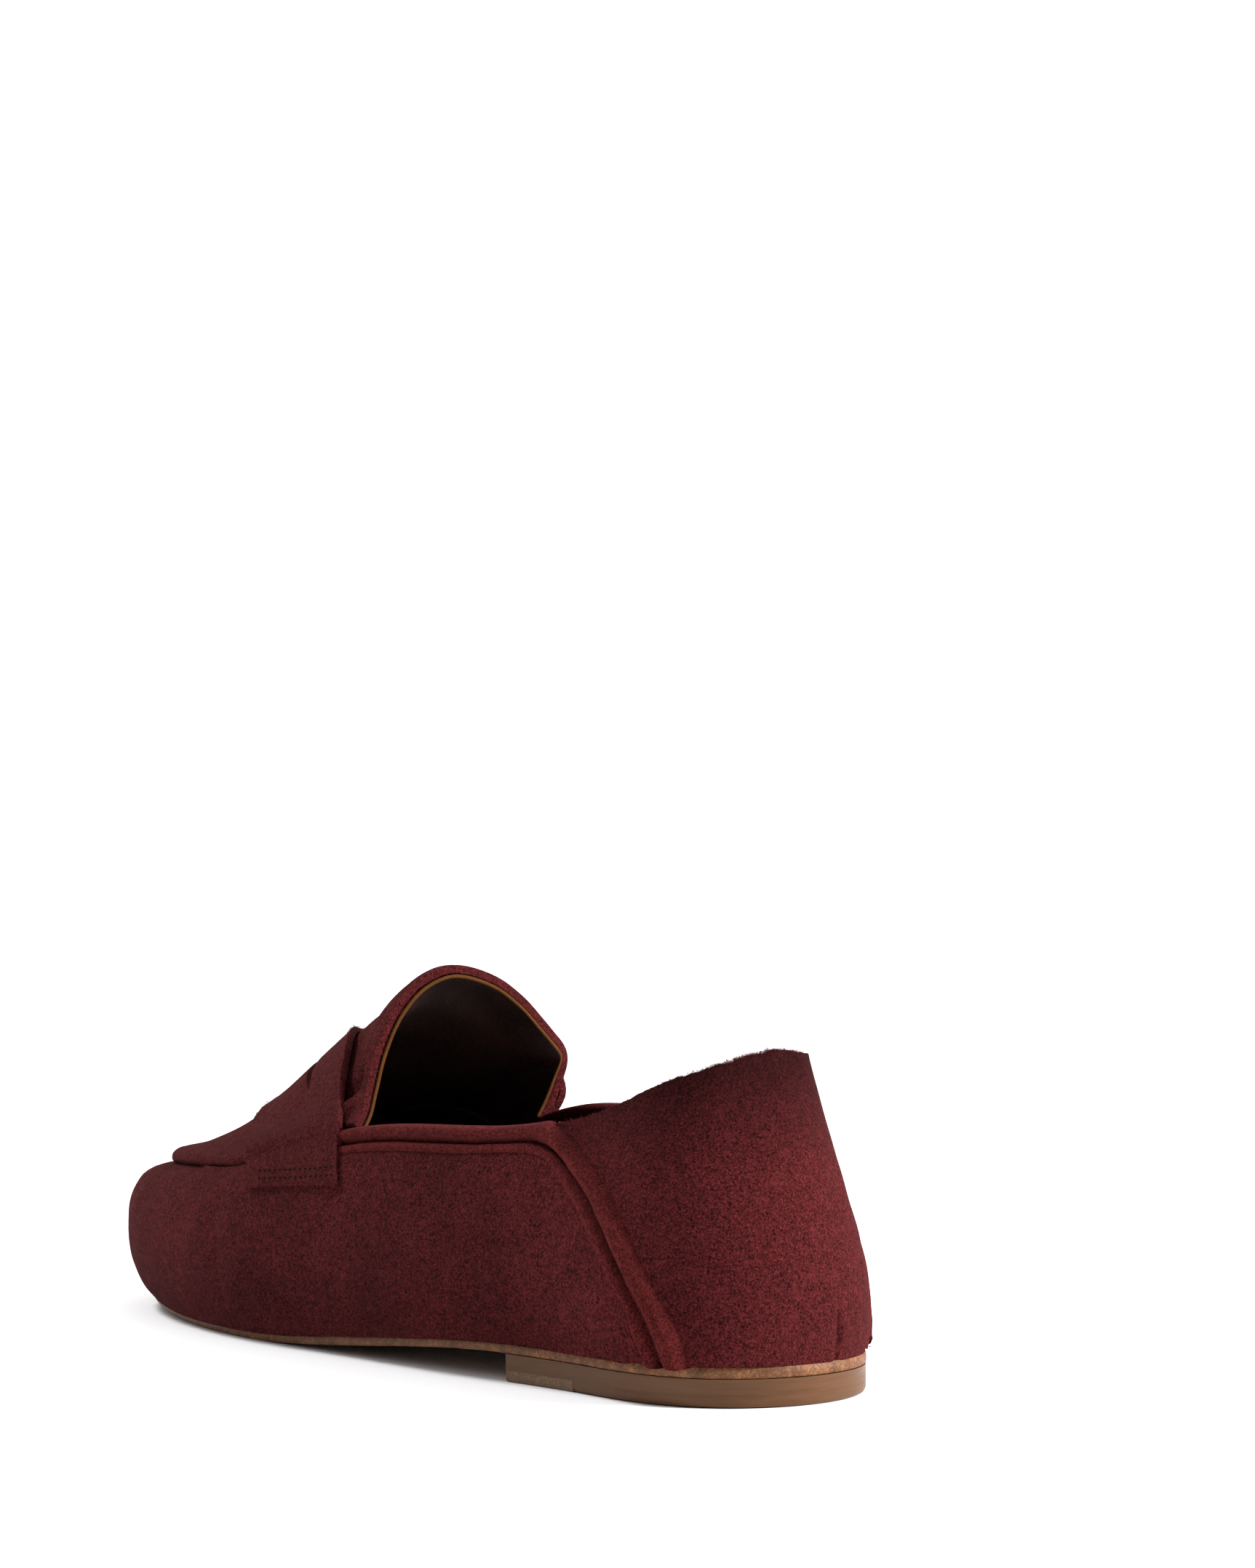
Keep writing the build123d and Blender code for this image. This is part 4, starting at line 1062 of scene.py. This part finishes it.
def crossing(values, errors):
    """Where a rising error crosses zero."""
    return float(np.interp(0.0, errors, values))


def build_strap():
    """The strap over the instep, with its bowed slot."""
    outer = strap_grid(1)
    inner = strap_grid(-1)
    grid = np.concatenate([outer[::-1], inner[1:]])
    rows, columns = grid.shape[:2]
    normals = grid_normals(grid)
    normals *= np.sign(normals[rows // 2, :, 2].mean())
    grid = grid + normals * STRAP_SUEDE
    grid += normals * (0.2 * waves(grid, 20, 51) + 0.07 * waves(grid, 6, 52))[..., None]
    slot = columns // 2 - 1
    width = np.linalg.norm(grid[:, slot] - grid[:, slot + 1], axis=1)
    open_rows = np.nonzero(width[:-1] + width[1:] > 0.02)[0]
    in_slot = {i * columns + slot for i in open_rows.tolist()}
    faces = [face for face in grid_faces(rows, columns) if face[0] not in in_slot]
    piece = new_object("strap_suede", grid.reshape(-1, 3), faces, SUEDE_STRAP)
    weld(piece)
    recalculate(piece)
    edit(piece, face_up)
    thicken(piece, STRAP_SUEDE, 0.3)
    on_shoe(piece, "suede", "penny_strap")
    return grid, normals


# ---- Sole and heel -------------------------------------------------------------------------------------


def sole_loop(rows, outset, height):
    """A loop round the sole's edge, moved out, at the height that a function gives along x."""
    plan = form_at(rows)[:, :2] + outward(rows) * outset
    return np.column_stack([plan, height(plan[:, 0])])


def build_outsole():
    """The outsole: thin leather with soft edges, risen at the waist and sprung at the toe."""
    rows = np.linspace(0, COUNT, 400, endpoint=False) + COUNT / 800
    section = [(-0.9, 0.0), (-0.3, 0.1), (0.0, 0.45), (0.05, 1.3)]
    section += [(0.0, 2.1), (-0.3, 2.5), (-1.0, OUTSOLE)]
    loops = [sole_loop(rows, outset, lambda x: sole_bottom(x) + up) for outset, up in section]
    piece = loops_solid("outsole_leather", loops, SOLE_EDGE)
    return on_shoe(piece, "sole_leather", "outsole")


def heel_loop(first, last, outset):
    """The heel's outline behind one place and, where first is given, in front of another."""
    outer = np.linspace(row_at(last, 1), row_at(first, 1) if first else 0.0, 60)
    inner = np.linspace(row_at(first, -1) if first else COUNT, row_at(last, -1), 60)
    side_a, side_b = (form_at(rows)[:, :2] + outward(rows) * outset for rows in (outer, inner))
    return side_a, side_b if first else side_b[1:]


def row_at(x, side):
    xs, rows = side_rows(side)
    return float(np.interp(x, xs, rows))


def build_heel_layer(name, first, last, hollow, bottom, top, outset, rounding, material):
    """One layer of the heel block with soft edges."""
    loops = []
    corner = [(rounding, bottom), (0.35 * rounding, bottom + 0.3 * rounding), (0.0, bottom + rounding)]
    for inset, z in [*corner, (0.0, top)]:
        side_a, side_b = heel_loop(first, last, outset - inset)
        bow = np.sin(np.linspace(0, math.pi, 30)) * hollow
        across = np.linspace(0, 1, 30)
        front = side_b[-1] + (side_a[0] - side_b[-1]) * across[:, None]
        front[:, 0] -= bow + inset
        parts = [side_a, side_b, front[1:-1]]
        if first:
            rear = side_a[-1] + (side_b[0] - side_a[-1]) * across[:, None]
            parts = [side_a, rear[1:-1], side_b, front[1:-1]]
        plan = np.concatenate(parts)
        loops.append(np.column_stack([plan, np.full(len(plan), z)]))
    faces = tube_faces(len(loops), len(loops[0]))
    piece = new_object(name, np.concatenate(loops), faces, material)
    recalculate(piece)
    sharpen(piece, 35)
    return piece


def build_heel():
    """The lift, and under it the rubber top piece with its leather insert in front."""
    front = (HEEL_BREAST, BREAST_HOLLOW)
    joint = TOP_PIECE_JOINT + GAP
    lift = build_heel_layer("heel_lift_block", None, *front, TOP_PIECE, HEEL_HEIGHT, -0.1, 0.03, HEEL_RUBBER)
    behind = (TOP_PIECE_JOINT, 0)
    rubber = build_heel_layer("top_piece_rubber", None, *behind, 0, TOP_PIECE, -0.1, 1.1, HEEL_RUBBER)
    insert = build_heel_layer("top_piece_leather", joint, *front, 0, TOP_PIECE, -0.15, 0.6, INSERT)
    on_shoe(lift, "sole_leather", "heel_lift")
    on_shoe(rubber, "heel_rubber", "heel_top_rubber")
    on_shoe(insert, "insert_leather", "heel_top_leather")


# ---- Stitches and fibres -------------------------------------------------------------------------------


def stitch_row(name, points, normals, pitch, length, radius, sink):
    """A row of separate stitches along a line of points, each an arched capsule sunk in the suede."""
    steps = measured(points)
    vertices = []
    faces = []
    for centre in np.arange(pitch / 2, steps[-1] - pitch / 2, pitch):
        behind, before = (at_length(centre + step, steps, points) for step in (-0.1, 0.1))
        middle = (behind + before) / 2
        ahead = unit(before - behind)
        up = unit(at_length(centre, steps, normals))
        across = np.cross(ahead, up)
        start = len(vertices)
        for t in np.linspace(-1, 1, 7):
            size = radius * math.sqrt(max(0.02, 1 - t**4))
            place = middle + ahead * t * length / 2 + up * (radius * 0.9 * (1 - t * t) - sink)
            for turn in np.arange(6) * math.tau / 6:
                vertices.append(place + size * (math.cos(turn) * across + math.sin(turn) * up))
        faces += tube_faces(7, 6, start)
    piece = new_object(name, vertices, faces, THREAD)
    recalculate(piece)
    return piece


def fibres(name, roots, out, up, length, seed, lean=0.6):
    """Short curled fibres, one from each root, that lean along out, up and any way by the given share."""
    random = np.random.default_rng(seed)
    count = len(roots)
    way = unit(out * random.uniform(0.2, 1, (count, 1)) + up * random.uniform(-0.1, 1, (count, 1)))
    way = unit(way + lean * random.normal(size=(count, 3)))
    bend = unit(way + 0.7 * random.normal(size=(count, 3)))
    size = length * random.uniform(0.3, 1, (count, 1)) ** 1.5
    width = unit(np.cross(way, random.normal(size=(count, 3)))) * random.uniform(0.03, 0.06, (count, 1))
    middle = roots + way * size * 0.5
    tips = middle + bend * size * 0.5
    strips = np.stack([roots - width, roots + width, middle + width, middle - width, tips], 1)
    faces = []
    for start in range(0, 5 * count, 5):
        faces += [(start, start + 1, start + 2, start + 3), (start + 3, start + 2, start + 4)]
    return new_object(name, strips.reshape(-1, 3), faces, FIBRE)


def scattered(line, count, seed, spread=0.25):
    """Random places along a line of points, with the line's row numbers to look up directions."""
    random = np.random.default_rng(seed)
    place = random.uniform(0, len(line) - 1.001, count)
    first = place.astype(int)
    b = (place - first)[:, None]
    return line[first] * (1 - b) + line[first + 1] * b + spread * random.normal(size=(count, 3)), first


def edge_nap(name, line, out, up, count, length, seed):
    """Fibres along a raw edge."""
    roots, index = scattered(line, count, seed)
    return fibres(name, roots, out[index], up[index], length, seed)


def line_inside(grid, normals, inset):
    """The line across a grid's columns at a distance in from its first row."""
    line = []
    ups = []
    for j in range(grid.shape[1]):
        steps = measured(grid[:, j])
        line.append(at_length(inset, steps, grid[:, j]))
        ups.append(at_length(inset, steps, normals[:, j]))
    return np.array(line), np.array(ups)


def build_stitches(strap_points, strap_normals, tongue_points, tongue_normals):
    """Two rows above each hem of the strap, one inside the throat's edge and one in each groove."""
    for side, order in (("outer", 1), ("inner", -1)):
        for inset in HEM_ROWS:
            line, up = line_inside(strap_points[::order], strap_normals[::order], inset)
            row = stitch_row(f"hem_stitches_{side}_{inset:.0f}", line[2:-2], up[2:-2], *HEM_STITCH)
            on_shoe(row, "suede")
    line, up = line_inside(tongue_points, tongue_normals, THROAT_SEAM)
    on_shoe(stitch_row("throat_stitches", line[6:-6], up[6:-6], *THROAT_STITCH), "suede")
    for side in (1, -1):
        edge, groove, normals = band_frames(side)
        line = edge + 0.665 * (groove - edge) + 1.3 * normals
        name = "groove_stitches_outer" if side > 0 else "groove_stitches_inner"
        on_shoe(stitch_row(name, line, normals, *GROOVE_STITCH), "binding_suede")


def build_back_nap():
    """The back's coarse nap: long fibres out of its raw top, and short ones all over its face."""
    rows = np.linspace(-3.4, 3.6, 420)
    back = back_grid(rows, np.linspace(0.02, 1.0, 80))
    out = np.concatenate([outward(rows), np.zeros((len(rows), 1))], axis=1)
    up = unit(back[:, -1] - back[:, -2])
    top = edge_nap("back_edge_nap", back[:, -1], out, up, BACK_EDGE_FIBRES, 0.95, 61)
    random = np.random.default_rng(62)
    place = random.uniform(0, 1, (BACK_FIBRES, 2)) * (len(rows) - 2, 78)
    i, j = place.astype(int).T
    b, c = (place - place.astype(int)).T[..., None]
    roots = back[i, j] * (1 - b) * (1 - c) + back[i + 1, j] * b * (1 - c)
    roots = roots + back[i, j + 1] * (1 - b) * c + back[i + 1, j + 1] * b * c
    face = fibres("back_face_nap", roots, out[i] * 0.6, up[i] * 0.5, 0.75, 63, 0.8)
    for nap in (top, face):
        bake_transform(nap)


def build_edge_naps(strap_points, strap_normals, tongue_points, tongue_normals):
    """Fibres out of the cut edges of the strap, the throat and the raw lips of the bindings."""
    out = unit(tongue_points[0] - tongue_points[1])
    nap = edge_nap("throat_nap", tongue_points[0], out, tongue_normals[0], THROAT_FIBRES, 0.5, 64)
    on_shoe(nap, "suede")
    for index, inner, name in ((0, 1, "strap_nap_back"), (-1, -2, "strap_nap_front")):
        edge = strap_points[:, index]
        out = unit(edge - strap_points[:, inner])
        nap = edge_nap(name, edge, out, strap_normals[:, index], STRAP_FIBRES, 0.6, 65)
        on_shoe(nap, "suede")
        hem = strap_points[index]
        out = unit(hem - strap_points[inner])
        name = name.replace("nap", "hem_nap")
        nap = edge_nap(name, hem, out, strap_normals[index], HEM_FIBRES, 0.6, 66)
        on_shoe(nap, "suede")
    for side, name in ((1, "binding_nap_outer"), (-1, "binding_nap_inner")):
        edge, groove, normals = band_frames(side)
        line = edge + 1.0 * (groove - edge) + 3.2 * normals
        nap = edge_nap(name, line, unit(groove - edge), normals, BAND_FIBRES, 0.7, 67)
        on_shoe(nap, "binding_suede")


# ---- Stage ---------------------------------------------------------------------------------------------

CAMERA_PLACE = (-666.1, 475.0, 118.0)
CAMERA_YAW = -34.03
CAMERA_PITCH = 0.40
CAMERA_ROLL = -0.24
CAMERA_LENS = 91.84
FLOOR_REACH = 9000
BEHIND_CAMERA = 0.2  # how bright the room is behind the camera, beside the white sweep in front
KEY_PLACE = (-1.3, -1.15, 0.85)  # in metres, like the key's target and size
KEY_TARGET = (0.0, 0.0, 0.03)
KEY_SIZE = 0.6
KEY_POWER = 85
SUN_POWER = 2.4
SUN_ANGLE = 15
SUN_DIRECTION = (-0.7, -0.3, -1.0)


def build_camera():
    """A level view from behind, on the outer side, with the shoe low in the frame."""
    data = bpy.data.cameras.new("camera")
    data.lens = CAMERA_LENS
    data.sensor_width = 36
    camera = placed("camera", data)
    turn = Matrix.Rotation(math.radians(CAMERA_YAW - 90), 4, "Z")
    tip = Matrix.Rotation(math.radians(90 + CAMERA_PITCH), 4, "X")
    roll = Matrix.Rotation(math.radians(CAMERA_ROLL), 4, "Z")
    place = Matrix.Translation([value * MM for value in CAMERA_PLACE])
    camera.matrix_world = place @ turn @ tip @ roll
    bpy.context.scene.camera = camera


def look(direction):
    """The rotation whose -Z axis points along a direction."""
    return Vector(direction).to_track_quat("-Z", "Y").to_euler()


def build_stage():
    """A white floor under an even white sky, with a soft key from the right and behind."""
    nodes = Nodes("floor", 0.9, specular=0.1)
    cloud = nodes.noise(300, 2.0)
    material = nodes.finish(nodes.ramp(cloud, [(0.3, (0.93, 0.93, 0.94)), (0.7, (0.95, 0.95, 0.96))]))
    corners = [(x * FLOOR_REACH, y * FLOOR_REACH, 0) for x, y in ((-1, -1), (1, -1), (1, 1), (-1, 1))]
    floor = new_object("floor", corners, [(0, 1, 2, 3)], material)
    world = bpy.data.worlds.new("sky")
    world.use_nodes = True
    tree = world.node_tree
    place = tree.nodes.new("ShaderNodeTexCoord")
    facing = tree.nodes.new("ShaderNodeVectorMath")
    facing.operation = "DOT_PRODUCT"
    yaw = math.radians(CAMERA_YAW)
    facing.inputs[1].default_value = (math.cos(yaw), math.sin(yaw), 0.6)
    fade = tree.nodes.new("ShaderNodeMapRange")
    set_inputs(fade, From_Min=-0.5, From_Max=0.6, To_Min=BEHIND_CAMERA, To_Max=1.0)
    set_inputs(tree.nodes["Background"], Color=(1, 1, 1, 1))
    tree.links.new(place.outputs["Generated"], facing.inputs[0])
    tree.links.new(facing.outputs["Value"], fade.inputs["Value"])
    tree.links.new(fade.outputs["Result"], tree.nodes["Background"].inputs["Strength"])
    bpy.context.scene.world = world
    key = bpy.data.lights.new("key", "AREA")
    key.size = KEY_SIZE
    key.energy = KEY_POWER
    lamp = placed("key", key)
    lamp.location = KEY_PLACE
    lamp.rotation_euler = look(Vector(KEY_TARGET) - Vector(KEY_PLACE))
    sun = bpy.data.lights.new("top", "SUN")
    sun.energy = SUN_POWER
    sun.angle = math.radians(SUN_ANGLE)
    placed("top", sun).rotation_euler = look(SUN_DIRECTION)
    bpy.context.scene.view_settings.view_transform = "Standard"


# ---- Make everything -----------------------------------------------------------------------------------

build_camera()
build_stage()
build_side_wall()
build_binding(1)
build_binding(-1)
build_back()
tongue_points, tongue_normals = build_tongue()
build_apron()
strap_points, strap_normals = build_strap()
build_outsole()
build_heel()

build_stitches(strap_points, strap_normals, tongue_points, tongue_normals)
build_edge_naps(strap_points, strap_normals, tongue_points, tongue_normals)
build_back_nap()

HIDDEN_MATERIALS = {
    "sock_lining": LINING_DARK,
    "vamp_lining": LINING_DARK,
    "quarter_lining_lateral": LINING_DARK,
    "quarter_lining_medial": LINING_DARK,
    "insole_board": grained("board", (0.2, 0.15, 0.1), (0.3, 0.24, 0.17), 1.5, 0.9),
    "bottom_filler": grained("cork", (0.16, 0.09, 0.05), (0.38, 0.26, 0.16), 1.8, 0.9),
    "heel_cushion": grained("foam", (0.55, 0.5, 0.4), (0.66, 0.62, 0.52), 1.0, 0.85),
    "toe_puff": grained("puff", (0.5, 0.48, 0.42), (0.6, 0.58, 0.52), 0.8, 0.8),
    "shank": grained("steel", (0.32, 0.32, 0.33), (0.42, 0.42, 0.43), 2.5, 0.4),
    "heel_nails": grained("steel_nails", (0.3, 0.3, 0.31), (0.4, 0.4, 0.41), 1.0, 0.4),
}
for node, material in HIDDEN_MATERIALS.items():
    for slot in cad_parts[node].material_slots:
        slot.material = material
